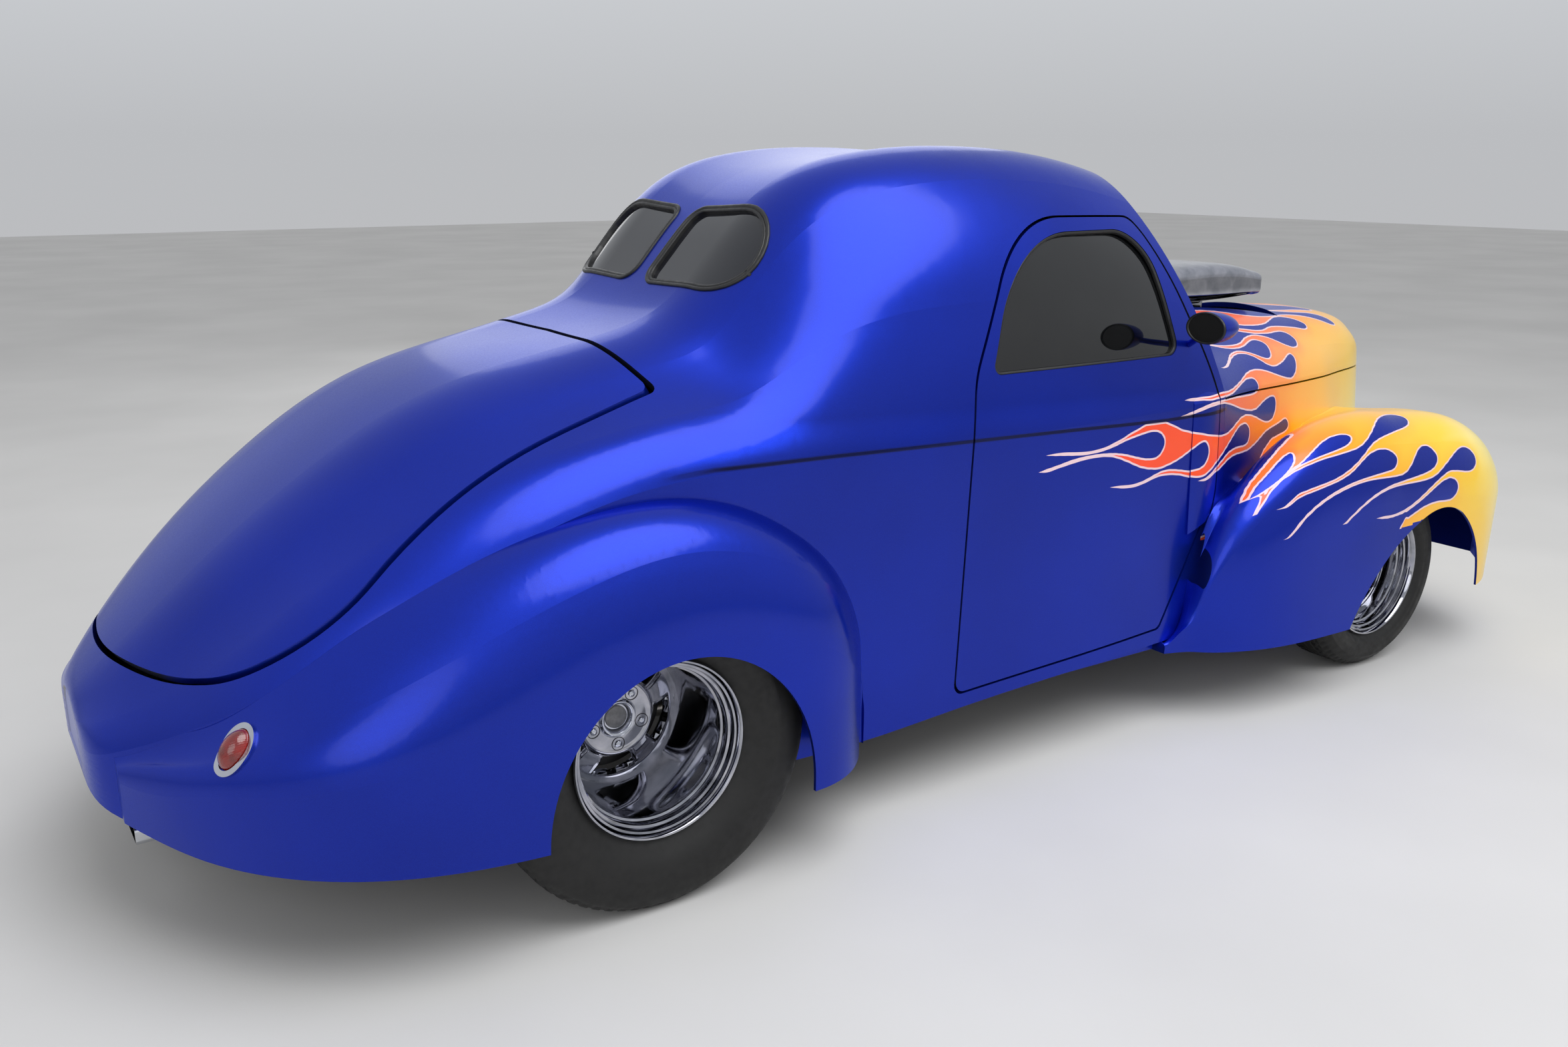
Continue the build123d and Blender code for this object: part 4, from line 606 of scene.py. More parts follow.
def drop_distance(nodes, x, v, drop):
    """How far inside one drop a point lies, in millimetres, below zero outside it.

    With m the middle line, s the squared half width and d = v - m, the drop is where
    g = s - d^2 is above zero, and g over the length of its slope is the distance.
    """
    station, *columns = drop_table(*drop)
    first, last = station[0], station[-1]
    t = np.linspace(0, 1, DROP_STOPS)
    at = last - (last - first) * t ** DROP_POWER
    lows = [column.min() for column in columns]
    spans = [max(column.max() - column.min(), 1e-3) for column in columns]
    values = [(np.interp(at, station, c) - low) / span for c, low, span in zip(columns, lows, spans)]
    stops = [(float(p), tuple(float(c) for c in colour)) for p, *colour in zip(t, *values)]
    reach = nodes.ranged(x, last, first, 0.0, 1.0)
    ramp = nodes.ramp(nodes.math("POWER", reach, 1 / DROP_POWER), stops, "CARDINAL")
    parts = nodes.add("ShaderNodeSeparateColor")
    nodes.put(parts.inputs[0], ramp.outputs["Color"])
    outputs = [*parts.outputs, ramp.outputs["Alpha"]]
    rows = zip(outputs, spans, lows)
    middle, width, lean, taper = (nodes.math("MULTIPLY_ADD", *row) for row in rows)
    d = nodes.math("SUBTRACT", v, middle)
    g = nodes.math("SUBTRACT", width, nodes.math("MULTIPLY", d, d))
    twice = nodes.math("MULTIPLY", d, 2.0)
    along = nodes.math("MULTIPLY_ADD", twice, lean, taper)
    steep = nodes.math("MULTIPLY_ADD", twice, twice, 4.0)
    length = nodes.math("SQRT", nodes.math("MULTIPLY_ADD", along, along, steep))
    return nodes.math("DIVIDE", g, length)


def flame_colour(nodes, x, v, inside, fender):
    """Airbrushed fade from cream at the front through yellow to red orange at the tips."""
    if fender:
        away = nodes.math("ABSOLUTE", nodes.math("SUBTRACT", v, FENDER_LEVEL))
        lean, places = nodes.math("MULTIPLY", away, FENDER_LEAN), FENDER_PLACES
    else:
        away = nodes.math("MAXIMUM", nodes.math("SUBTRACT", v, SIDE_LEVEL), 0.0)
        lean, places = nodes.math("MULTIPLY", away, SIDE_LEAN), SIDE_PLACES
    near_edge = nodes.ranged(inside, 0.0, EDGE_WIDTH, 1.0, 0.0, True)
    edge = nodes.math("MULTIPLY", near_edge, EDGE_LAG)
    cloud = nodes.math("MULTIPLY", nodes.math("SUBTRACT", nodes.noise(5.0, 2.0), 0.5), FADE_DRIFT)
    reach = nodes.math("ADD", nodes.math("ADD", x, lean), nodes.math("ADD", edge, cloud))
    share = nodes.ranged(reach, FADE_START, FADE_END, 0.0, 1.0)
    span = FADE_END - FADE_START
    stops = [((p - FADE_START) / span, linear(*shade)) for p, shade in zip(places, FLAME_SHADES)]
    return nodes.ramp(share, stops).outputs["Color"]


def outward_share(nodes):
    """1 on the outer side of a panel and 0 on its inner side, from the way it faces."""
    nodes.place()
    parts = nodes.add("ShaderNodeSeparateXYZ")
    nodes.put(parts.inputs[0], nodes.made["normal"])
    side = nodes.math("SIGN", nodes.place()[2])
    across = nodes.math("MULTIPLY", nodes.math("MULTIPLY", parts.outputs[1], side), 0.62)
    total = nodes.math("ADD", across, nodes.math("ADD", nodes.math("MULTIPLY", parts.outputs[2], 0.72),
                                                 nodes.math("MULTIPLY", parts.outputs[0], 0.12)))
    return total


METAL_SHARE = 0.84


def flamed(nodes, blue, drops, slant, start, fender):
    """The blue with flames laid over it, how metallic it is, and the chart's station."""
    settings = bpy.context.scene.hotrod_paint
    _, x, y, z = nodes.place()
    station = nodes.math("MULTIPLY_ADD", x, 1000.0, -1000.0 * REAR_AXLE_X)
    level = nodes.math("MULTIPLY_ADD", nodes.math("ABSOLUTE", y), -slant, z)
    height = nodes.math("MULTIPLY", level, 1000.0)
    blue_side = None
    for drop in drops:
        distance = drop_distance(nodes, station, height, drop)
        blue_side = distance if blue_side is None else nodes.math("MAXIMUM", blue_side, distance)
    inside = nodes.math("MULTIPLY", blue_side, -1.0)
    half = settings.stripe_width * 500.0
    flame = flame_colour(nodes, station, height, inside, fender)
    shown = nodes.ranged(inside, -0.4, 0.4, 0.0, 1.0)
    stripe = nodes.ranged(nodes.math("ABSOLUTE", inside), half - 0.4, half + 0.4, 1.0, 0.0)
    floor, ceiling = (FENDER_FLOOR, FENDER_CEILING) if fender else (SIDE_FLOOR, SIDE_CEILING)
    above = nodes.math("GREATER_THAN", height, stepped(nodes, station, floor))
    below = nodes.math("LESS_THAN", height, stepped(nodes, station, ceiling))
    ahead = nodes.math("GREATER_THAN", station, start)
    between = nodes.math("MULTIPLY", nodes.math("MULTIPLY", above, below), ahead)
    outside = nodes.math("MULTIPLY", nodes.ranged(outward_share(nodes), -0.05, 0.05, 0.0, 1.0), between)
    shown = nodes.math("MULTIPLY", shown, outside)
    stripe = nodes.math("MULTIPLY", stripe, outside)
    colour = nodes.mix(stripe, nodes.mix(shown, blue, flame), tuple(settings.stripe) + (1.0,))
    plain = nodes.math("SUBTRACT", 1.0, nodes.math("MAXIMUM", shown, stripe))
    return colour, nodes.math("MULTIPLY", plain, METAL_SHARE), station


def body_paint(name, drops=None, slant=SIDE_SLANT, start=1150.0, fender=False, lined=False):
    """Deep metallic blue under clear coat, with flames where drops are given.

    A fine cell noise brightens the flakes. Inner sides can be lined in dark felt.
    """
    settings = bpy.context.scene.hotrod_paint
    nodes = Nodes(name)
    z = nodes.place()[3]
    peel = nodes.bump(nodes.noise(70.0, 1.0), 0.012, 0.002)
    flake = nodes.add("ShaderNodeSeparateColor")
    nodes.put(flake.inputs[0], nodes.cells(2600.0, output="Color"))
    deep, bright = (tuple(value) + (1.0,) for value in (settings.blue_deep, settings.blue))
    colour = nodes.mix(nodes.varied(1.6, 3.0, 0.0, 1.0), deep, bright)
    colour = nodes.mix(nodes.ranged(flake.outputs[0], 0.0, 1.0, 0.0, 0.22), colour, linear(0.10, 0.32, 1.0))
    metal = METAL_SHARE
    if drops:
        colour, metal, station = flamed(nodes, colour, drops, slant, start, fender)
        if not fender:
            height, painted_crease_shade = crease(nodes, station, z)
            peel = nodes.bump(height, 1.0, 0.009, peel)
            # Just below the crease a darker blue is mixed in: painted shade at the crease's foot
            colour = nodes.mix(nodes.math("MULTIPLY", painted_crease_shade, 0.75), colour, linear(0.02, 0.03, 0.14))
    rough = nodes.varied(240.0, 2.0, 0.30, 0.38)
    if lined:
        lining = nodes.ranged(outward_share(nodes), -0.12, -0.22, 0.0, 1.0)
        lining = nodes.math("MULTIPLY", lining, nodes.math("GREATER_THAN", z, 0.2))
        felt = nodes.shaded(nodes.noise(900.0, 3.0), (0.08, 0.08, 0.085), (0.11, 0.11, 0.115))
        colour = nodes.mix(lining, colour, felt)
        rough = nodes.math("MULTIPLY_ADD", lining, 0.55, rough)
        metal = nodes.math("MULTIPLY", nodes.math("SUBTRACT", 1.0, lining), metal)
    nodes.set(Base_Color=colour, Metallic=metal, Roughness=rough, Coat_Weight=0.55, Coat_Roughness=0.13,
              Coat_IOR=1.38, Specular_Tint=(0.45, 0.55, 1.0, 1.0), Normal=peel)
    return nodes.material


def chrome(name="chrome plate"):
    """Mirror plate with faint hazy streaks and a slow ripple."""
    nodes = Nodes(name)
    colour = nodes.shaded(nodes.noise(9.0, 4.0, distortion=0.6), (0.70, 0.71, 0.75), (0.80, 0.81, 0.84))
    ripple = nodes.bump(nodes.noise(14.0, 1.0), 0.02, 0.002)
    rough = nodes.varied(35.0, 3.0, 0.03, 0.09, 0.3, 0.8)
    nodes.set(Base_Color=colour, Metallic=1.0, Roughness=rough, Normal=ripple)
    return nodes.material


def polished_aluminium(name="polished aluminium"):
    """Hand polished cast metal with small pits."""
    nodes = Nodes(name)
    colour = nodes.shaded(nodes.noise(22.0, 5.0, distortion=0.4), (0.58, 0.59, 0.62), (0.72, 0.72, 0.75))
    pits = nodes.bump(nodes.ranged(nodes.cells(420.0), 0.0, 0.08, 0.0, 1.0), 0.008, 0.0006)
    rough = nodes.varied(60.0, 3.0, 0.05, 0.11, 0.3, 0.8)
    nodes.set(Base_Color=colour, Metallic=1.0, Roughness=rough, Normal=pits)
    return nodes.material


def tyre_rubber(name="tyre rubber"):
    """Dark rubber with dusty shoulders and a fine moulded grain."""
    nodes = Nodes(name)
    colour = nodes.shaded(nodes.noise(16.0, 5.0), (0.040, 0.040, 0.040), (0.075, 0.073, 0.071), 0.25, 0.75)
    grain = nodes.bump(nodes.noise(1400.0, 2.0), 0.12, 0.0005)
    rough = nodes.varied(50.0, 2.0, 0.48, 0.66)
    nodes.set(Base_Color=colour, Roughness=rough, Specular_IOR_Level=0.45, Normal=grain)
    return nodes.material


def satin_black(name="satin black coat", shade=0.10, rough=0.38):
    """Powder coat with a light orange peel."""
    nodes = Nodes(name)
    dark, pale = (shade, shade, shade * 1.05), (shade * 1.35, shade * 1.35, shade * 1.4)
    nodes.set(Base_Color=nodes.shaded(nodes.noise(8.0, 4.0), dark, pale),
              Roughness=nodes.varied(90.0, 2.0, rough - 0.06, rough + 0.10),
              Normal=nodes.bump(nodes.noise(700.0, 1.0), 0.08, 0.0005))
    return nodes.material


def cast_iron(name="painted cast iron"):
    """Rough sand-cast surface under satin paint."""
    nodes = Nodes(name)
    nodes.set(Base_Color=nodes.shaded(nodes.noise(12.0, 4.0), (0.20, 0.21, 0.23), (0.29, 0.29, 0.31)),
              Roughness=0.55, Normal=nodes.bump(nodes.noise(420.0, 4.0), 0.35, 0.0012))
    return nodes.material


# The pipe is bright behind this X
EXHAUST_TIP_X = -2.09


def pipe_steel(name="pipe steel"):
    """Satin pipe, straw to blue where it runs hot, with a bright tip."""
    nodes = Nodes(name)
    heat = nodes.noise(3.0, 2.0, nodes.scaled((1.0, 4.0, 4.0)))
    stops = [(0.25, linear(0.66, 0.66, 0.67)), (0.55, linear(0.60, 0.58, 0.55)),
             (0.8, linear(0.50, 0.49, 0.52))]
    brushed = nodes.noise(60.0, 3.0, nodes.scaled((0.6, 30.0, 30.0)))
    tip = nodes.math("LESS_THAN", nodes.place()[1], EXHAUST_TIP_X)
    colour = nodes.mix(tip, nodes.ramp(heat, stops).outputs["Color"], linear(0.90, 0.91, 0.93))
    satin = nodes.ranged(brushed, 0.3, 0.7, 0.22, 0.38)
    rough = nodes.math("MULTIPLY", satin, nodes.math("MULTIPLY_ADD", tip, -0.8, 1.0))
    nodes.set(Base_Color=colour, Metallic=1.0, Roughness=rough, Normal=nodes.bump(brushed, 0.05, 0.0005))
    return nodes.material


def radiator_core(name="radiator core"):
    """Fine upright fins between flat tubes, with painted shade in the hollows between them and a painted
    highlight on their crests.
    """
    nodes = Nodes(name)
    _, _, y, z = nodes.place()
    tubes = nodes.ranged(nodes.wave(y, 0.012), 0.6, 0.9, -1.0, 1.4)
    height = nodes.math("MAXIMUM", nodes.wave(z, 0.003), tubes)
    share = nodes.ranged(height, -1.0, 1.0, 0.0, 1.0)
    # The colour follows the height of the fins and tubes: darker in the hollows as painted shade, paler on
    # the crests as painted highlight
    nodes.set(Base_Color=nodes.shaded(share, (0.06, 0.06, 0.06), (0.20, 0.20, 0.21), 0.0, 1.0),
              Metallic=0.7, Roughness=0.45, Normal=nodes.bump(height, 0.5, 0.001))
    return nodes.material


def window_glass(name, tint, clear, rough=0.02):
    """Flat glass with its tint in the surface colour and a little dust in the clear share."""
    nodes = Nodes(name)
    dust = nodes.noise(6.0, 4.0)
    colour = nodes.mix(nodes.ranged(dust, 0.3, 0.8, 0.0, 0.10), linear(*tint), linear(0.16, 0.17, 0.18))
    alpha = nodes.ranged(dust, 0.3, 0.8, clear, min(1.0, clear + 0.03))
    nodes.set(Base_Color=colour, Roughness=rough, Alpha=alpha, Specular_IOR_Level=0.8)
    return nodes.material


def red_lens(name="red lens"):
    """Deep red moulded lens: fine inner ribs show through a clear skin."""
    nodes = Nodes(name)
    _, _, y, z = nodes.place()
    ribs = nodes.wave(nodes.math("ADD", y, z), 0.006)
    nodes.set(Base_Color=nodes.shaded(nodes.noise(30.0, 3.0), (0.36, 0.02, 0.01), (0.62, 0.08, 0.03)),
              Roughness=0.12, Transmission_Weight=0.25, IOR=1.49, Coat_Weight=1.0, Coat_Roughness=0.02,
              Normal=nodes.bump(ribs, 0.15, 0.0008))
    return nodes.material


def lamp_glass(name="headlamp glass"):
    """Clear fluted glass over a bright bowl, lighter on each flute's crest and darker in its trough as
    painted highlight and shade.
    """
    nodes = Nodes(name)
    flutes = nodes.wave(nodes.place()[2], 0.011)
    share = nodes.ranged(flutes, -1.0, 1.0, 0.0, 1.0)
    # The colour follows the flutes: painted highlight on their crests and painted shade in their troughs
    nodes.set(Base_Color=nodes.shaded(share, (0.72, 0.75, 0.78), (0.92, 0.94, 0.96), 0.0, 1.0),
              Metallic=0.35, Roughness=0.10, Coat_Weight=1.0, Coat_Roughness=0.02,
              Normal=nodes.bump(flutes, 0.3, 0.0012))
    return nodes.material


def leather(name="black leather"):
    """Soft black hide: creased cells of a few millimetres with a satin top."""
    nodes = Nodes(name)
    grain = nodes.ranged(nodes.cells(520.0, "DISTANCE_TO_EDGE"), 0.0, 0.12, 0.0, 1.0)
    nodes.set(Base_Color=nodes.shaded(nodes.noise(11.0, 4.0), (0.105, 0.10, 0.10), (0.17, 0.165, 0.16)),
              Roughness=nodes.varied(35.0, 3.0, 0.40, 0.56), Normal=nodes.bump(grain, 0.25, 0.0006))
    return nodes.material


def carpet(name="black carpet"):
    """Short cut pile in near black."""
    nodes = Nodes(name)
    pile = nodes.noise(900.0, 3.0)
    nodes.set(Base_Color=nodes.shaded(pile, (0.06, 0.06, 0.065), (0.16, 0.16, 0.17)),
              Roughness=0.95, Normal=nodes.bump(pile, 0.6, 0.002))
    return nodes.material


def rubber_trim(name="black rubber trim"):
    """Smooth extruded rubber with a light bloom."""
    nodes = Nodes(name)
    nodes.set(Base_Color=nodes.shaded(nodes.noise(20.0, 4.0), (0.05, 0.05, 0.05), (0.11, 0.11, 0.115)),
              Roughness=nodes.varied(60.0, 2.0, 0.35, 0.5))
    return nodes.material


def cap_grey(name="brushed grey cap"):
    """Satin grey metal with a fine grain."""
    nodes = Nodes(name)
    brushed = nodes.noise(90.0, 3.0)
    nodes.set(Base_Color=nodes.shaded(brushed, (0.44, 0.44, 0.45), (0.52, 0.52, 0.53)),
              Metallic=0.6, Roughness=0.42, Normal=nodes.bump(brushed, 0.05, 0.0004))
    return nodes.material


FINISHES = {}


def finish(key):
    """The material of one finish, made once."""
    makers = {
        "side paint": lambda: body_paint("flamed side paint", SIDE_DROPS, lined=True),
        "fender paint": lambda: body_paint("flamed fender paint", FENDER_DROPS, FENDER_SLANT, 1800.0, True),
        "blue paint": lambda: body_paint("deep blue paint"),
        "lined paint": lambda: body_paint("deep blue paint lined", lined=True),
        "chrome": chrome,
        "polished": polished_aluminium,
        "rubber": tyre_rubber,
        "trim": rubber_trim,
        "frame": satin_black,
        "inner": lambda: carpet("cabin carpet"),
        "iron": cast_iron,
        "pipe": pipe_steel,
        "core": radiator_core,
        "dark glass": lambda: window_glass("dark door glass", (0.025, 0.028, 0.033), 0.93),
        "clear glass": lambda: window_glass("clear glass", (0.030, 0.035, 0.075), 0.94),
        "lamp glass": lamp_glass,
        "red lens": red_lens,
        "leather": leather,
        "dash": lambda: satin_black("dash grained black", 0.11, 0.5),
        "cap": cap_grey,
        "cowl paint": lambda: body_paint("flamed cowl paint", SIDE_DROPS, start=1850.0, lined=True),
        # The mirror glass is a near black satin coat in place of a mirror finish: a painted dark reflection
        "mirror glass": lambda: satin_black("mirror with painted dark reflection", 0.05, 0.08),
        "belt": lambda: satin_black("ribbed belt rubber", 0.07, 0.6),
    }
    if key not in FINISHES:
        FINISHES[key] = makers[key]()
    return FINISHES[key]


SLOT_FINISH = {
    "body_paint": "blue paint", "chassis_black": "frame", "inner_panel": "inner", "chrome": "chrome",
    "polished_aluminium": "polished", "steel_pipe": "pipe", "engine_iron": "iron", "core_black": "core",
    "tyre": "rubber", "dark_glass": "dark glass", "clear_glass": "clear glass", "lamp_glass": "lamp glass",
    "red_lens": "red lens", "upholstery": "leather", "dash_black": "dash",
}
NODE_FINISH = {
    "hood": "side paint", "nose_shell": "side paint", "body_shell": "cowl paint",
    "door_left": "side paint", "door_right": "side paint", "decklid": "lined paint",
    "front_fender_left": "fender paint", "front_fender_right": "fender paint",
}


# Settings

def colour_setting(name, description, default):
    return FloatVectorProperty(name=name, description=description, subtype="COLOR", default=default,
                               min=0, max=1)


def length_setting(name, description, default, low, high):
    return FloatProperty(name=name, description=description, unit="LENGTH", default=default,
                         min=low, max=high)


class HotrodPaint(bpy.types.PropertyGroup):
    """Colours of the body and its flames."""

    blue: colour_setting("Blue", "Body colour", (0.003, 0.017, 0.34))
    blue_deep: colour_setting("Deep blue", "Body colour in its darker clouds", (0.002, 0.011, 0.24))
    stripe: colour_setting("Stripe", "Colour of the fine line round the flames", (0.86, 0.62, 0.66))
    stripe_width: length_setting("Stripe width", "Width of the line round the flames", 0.0055, 0.001, 0.02)


class HotrodWheels(bpy.types.PropertyGroup):
    """Sizes of the wheel faces and tyre tread."""

    spokes: IntProperty(name="Spokes", description="Spokes in each wheel", default=5, min=3, max=9)
    window_inner: length_setting("Window start", "Radius where the openings begin", 0.094, 0.05, 0.14)
    window_outer: length_setting("Window end", "Radius where the openings end", 0.150, 0.1, 0.17)
    groove: length_setting("Groove depth", "Depth of the tread grooves", 0.007, 0.0, 0.012)


class HotrodStage(bpy.types.PropertyGroup):
    """Floor, lamps and camera."""

    floor_size: length_setting("Floor size", "Side of the floor", 60.0, 5.0, 200.0)
    key_power: FloatProperty(name="Key lamp", description="Power of the large lamp overhead", unit="POWER",
                             default=330.0, min=0.0)
    lens: FloatProperty(name="Lens", description="Focal length of the camera", subtype="DISTANCE_CAMERA",
                        default=30.82, min=10.0)


# Operators

class HotrodFinishFrame(bpy.types.Operator):
    """Paints every CAD node with its finish"""

    bl_idname = "hotrod.finish_frame"
    bl_label = "Finish the CAD nodes"

    def execute(self, context):
        for name, node in frame["nodes"].items():
            key = NODE_FINISH.get(name) or SLOT_FINISH[SLOTS[name]]
            node.data.materials.clear()
            node.data.materials.append(finish(key))
        return {"FINISHED"}


# Place of each axle's left wheel, and half the width of its rim, tyre and tread. The dish is
# how far the wheel face lies inside the rim's edge, and z is the tyre's radius too.
AXLES = {
    "rear": {"x": REAR_AXLE_X, "y": 0.630, "z": 0.376,
             "rim": 0.173, "dish": 0.215, "tyre": 0.195, "tread": 0.170},
    "front": {"x": FRONT_AXLE_X, "y": 0.675, "z": 0.313,
              "rim": 0.084, "dish": 0.070, "tyre": 0.095, "tread": 0.070},
}
BEAD_RADIUS = 0.1945
LUG_CIRCLE = 0.0640
FACE_EDGE = 0.1660


def wheels():
    """The axle's name and sizes, side, ending and centre of each wheel."""
    for kind, axle in AXLES.items():
        for side, ending in SIDES:
            yield kind, axle, side, ending, (axle["x"], side * axle["y"], axle["z"])


def tyre_grid(centre, axle, side, depth, steps=288):
    """A tyre: its section turned about the axle, with the tread cut in along the way.

    The section runs from bead to bead with rounded corners. On the crown the radius is
    lowered by the groove depth where a rib pattern in the width or a slanted bar pattern
    in the angle is on, each pattern being a clipped cosine.
    """
    radius, half, tread = axle["z"], axle["tyre"], axle["tread"]
    bead_y = axle["rim"] - 0.014
    mid = (BEAD_RADIUS + radius) / 2 + 0.002
    outline = [
        (BEAD_RADIUS, bead_y - 0.020), (BEAD_RADIUS, bead_y), (BEAD_RADIUS + 0.016, bead_y + 0.004),
        (mid - 0.024, half - 0.0015), (mid + 0.018, half), (radius - 0.030, half - 0.006),
        (radius - 0.012, tread + 0.004), (radius - 0.0025, tread - 0.010),
    ]
    flank = rounded(outline, [0.006, 0.010, 0.030, 0.030, 0.018, 0.010], 5)
    crown_y = np.linspace(tread - 0.012, -(tread - 0.012), 60 if half > 0.12 else 34)
    crown = np.stack([radius - 0.0025 * (np.abs(crown_y) / tread) ** 3, crown_y], -1)
    section = np.concatenate([flank, crown, flank[::-1] * (1, -1)])
    t = np.linspace(0, 2 * pi, steps, endpoint=False)[:, None]
    r, y = section[:, 0][None, :], section[:, 1][None, :]
    on_crown = smoothstep(radius - 0.020, radius - 0.006, r + 0 * t)
    ribs = smoothstep(0.80, 0.90, np.cos(2 * pi * y / (tread / 2.6)) + 0 * t)
    ribs = ribs * (np.abs(y) < tread * 0.93)
    slant = t * 72 + np.abs(y) * 90
    bars = smoothstep(0.84, 0.93, np.cos(slant)) * (np.abs(y) > tread * 0.30)
    radial = r - np.maximum(ribs, bars * 0.8) * depth * on_crown
    ring = 0.0012 * smoothstep(0.6, 0.9, np.cos((r - mid) * 2 * pi / 0.022)) * (np.abs(y) > tread + 0.004)
    return placed(centre, side, radial * np.sin(t), y + np.sign(y) * ring, radial * np.cos(t))


class HotrodTyres(bpy.types.Operator):
    """Four tyres with grooved tread and plain flanks"""

    bl_idname = "hotrod.tyres"
    bl_label = "Tyres"

    def execute(self, context):
        groove = context.scene.hotrod_wheels.groove
        for kind, axle, side, ending, centre in wheels():
            rings(f"tyre_{kind}_{ending}", [tyre_grid(centre, axle, side, groove)], "rubber",
                  f"wheel_{kind}_{ending}", side < 0, (f"{kind}_tyre_{ending}",), 32.0)
        return {"FINISHED"}


def face_sectors(centre, face, settings, side, depth):
    """The wheel face in sectors, each a grid of radius by share across.

    A sector's half angle is 180/spokes degrees less the opening's: the opening's half
    angle rises and falls with rounded ends between the inner and outer radius, so that
    between those radii each sector narrows to a spoke. The face dips outwards in a
    shallow S and rolls over near the edges of the openings.
    """
    inner, outer = settings.window_inner, settings.window_outer
    r = np.concatenate([np.linspace(0.046, inner - 0.004, 12), np.linspace(inner - 0.002, outer + 0.002, 46),
                        np.linspace(outer + 0.004, FACE_EDGE, 10)])
    u = np.concatenate([np.linspace(-1, -0.86, 6), np.linspace(-0.8, 0.8, 30), np.linspace(0.86, 1, 6)])
    sector = pi / settings.spokes
    share = np.clip((r - inner) / (outer - inner), 0, 1)
    corner = 0.07
    ends = 1.0
    for way in (share, 1 - share):
        ends = ends * np.sqrt(np.clip(1 - (np.clip(corner - way, 0, corner) / corner) ** 2, 0, 1))
    window = (0.54 + 0.06 * share) * sector * ends * ((share > 0) & (share < 1))
    half_angle = (sector - window)[:, None]
    angle = u[None, :] * half_angle
    radius = r[:, None] + 0 * angle
    slope = -0.010 * smoothstep(inner - 0.006, inner + 0.004, radius)
    slope = slope - depth * smoothstep(inner, FACE_EDGE, radius) ** 1.2
    lip = 0.0025 * np.exp(-((radius - inner + 0.010) / 0.004) ** 2)
    near = (1 - np.abs(u))[None, :] * half_angle * radius
    roll = np.where(window[:, None] > 1e-4, 0.004 * np.exp(-(near / 0.004) ** 2), 0.0)
    edge = np.where(window[:, None] > 1e-4, 0.0022 * np.exp(-((near - 0.007) / 0.003) ** 2), 0.0)
    out = face + slope + lip - roll + edge
    turns = [angle + 2 * k * sector for k in range(settings.spokes)]
    return [placed(centre, side, radius * np.sin(turn), out, radius * np.cos(turn)) for turn in turns]


def lug_grid(centre, angle, out, side, radius=0.0095, height=0.016, sides=6, steps=36):
    """A lug nut: rings round a small axis, six flats low down and a round dome on top.

    r(t) is the radius over the cosine of the angle to the nearest flat's middle, faded to a
    circle towards the crown, and the crown closes in a quarter ellipse.
    """
    t = np.linspace(0, 2 * pi, steps, endpoint=False)[:, None]
    flat = np.cos(pi / sides) / np.cos((t % (2 * pi / sides)) - pi / sides)
    level = np.array([0, 0.55, 0.62, 0.80, 0.93, 1.0])[None, :]
    shrink = np.array([1, 1, 0.94, 0.78, 0.45, 0.0])[None, :]
    round_share = np.array([0, 0, 0.4, 1, 1, 1])[None, :]
    r = radius * shrink * (flat * (1 - round_share) + round_share)
    across = LUG_CIRCLE * sin(angle) + r * np.cos(t)
    up = LUG_CIRCLE * cos(angle) + r * np.sin(t)
    return placed(centre, side, across, out + height * level, up)


def pocket_grid(centre, angle, out, side, radius=0.0150, depth=0.010, steps=28):
    """A round cup sunk in the hub, turned about its own axis."""
    t = np.linspace(0, 2 * pi, steps, endpoint=False)[:, None]
    r = radius * np.array([1.12, 1.04, 0.98, 0.92, 0.0])[None, :]
    sunk = out + np.array([0.0006, 0.0022, 0.0004, -depth, -depth])[None, :]
    across = LUG_CIRCLE * sin(angle) + r * np.cos(t)
    up = LUG_CIRCLE * cos(angle) + r * np.sin(t)
    return placed(centre, side, across, sunk, up)


def barrel_profile(kind, half, face):
    """The rim's closed section: stepped lip, drop to the face, inner flange and bead seats."""
    lip = [
        (0.2055, half - 0.010), (0.2065, half - 0.003), (0.2040, half), (0.2000, half - 0.001),
        (0.1965, half - 0.006), (0.1945, half - 0.012), (0.1900, half - 0.0135), (0.1885, half - 0.018),
        (0.1870, half - 0.026), (0.1815, half - 0.028), (0.1800, half - 0.033), (0.1790, half - 0.046),
    ]
    drop = {
        "rear": [(0.1745, half - 0.049), (0.1725, half - 0.060), (0.1700, half - 0.130),
                 (0.1690, face + 0.010), (0.1650, face - 0.016), (0.1640, -half + 0.05)],
        "front": [(0.1740, half - 0.049), (0.1700, face + 0.004), (0.1660, face - 0.014),
                  (0.1640, -half + 0.04)],
    }
    back = [
        (0.1830, -half + 0.020), (0.1960, -half + 0.008), (0.2045, -half), (0.2065, -half + 0.003),
        (0.2055, -half + 0.010), (0.1905, -half + 0.016), (0.1905, -half + 0.040), (0.1725, -half + 0.055),
        (0.1735, half - 0.055), (0.1905, half - 0.040), (0.1905, half - 0.016), (0.2055, half - 0.010),
    ]
    return lip + drop[kind] + back


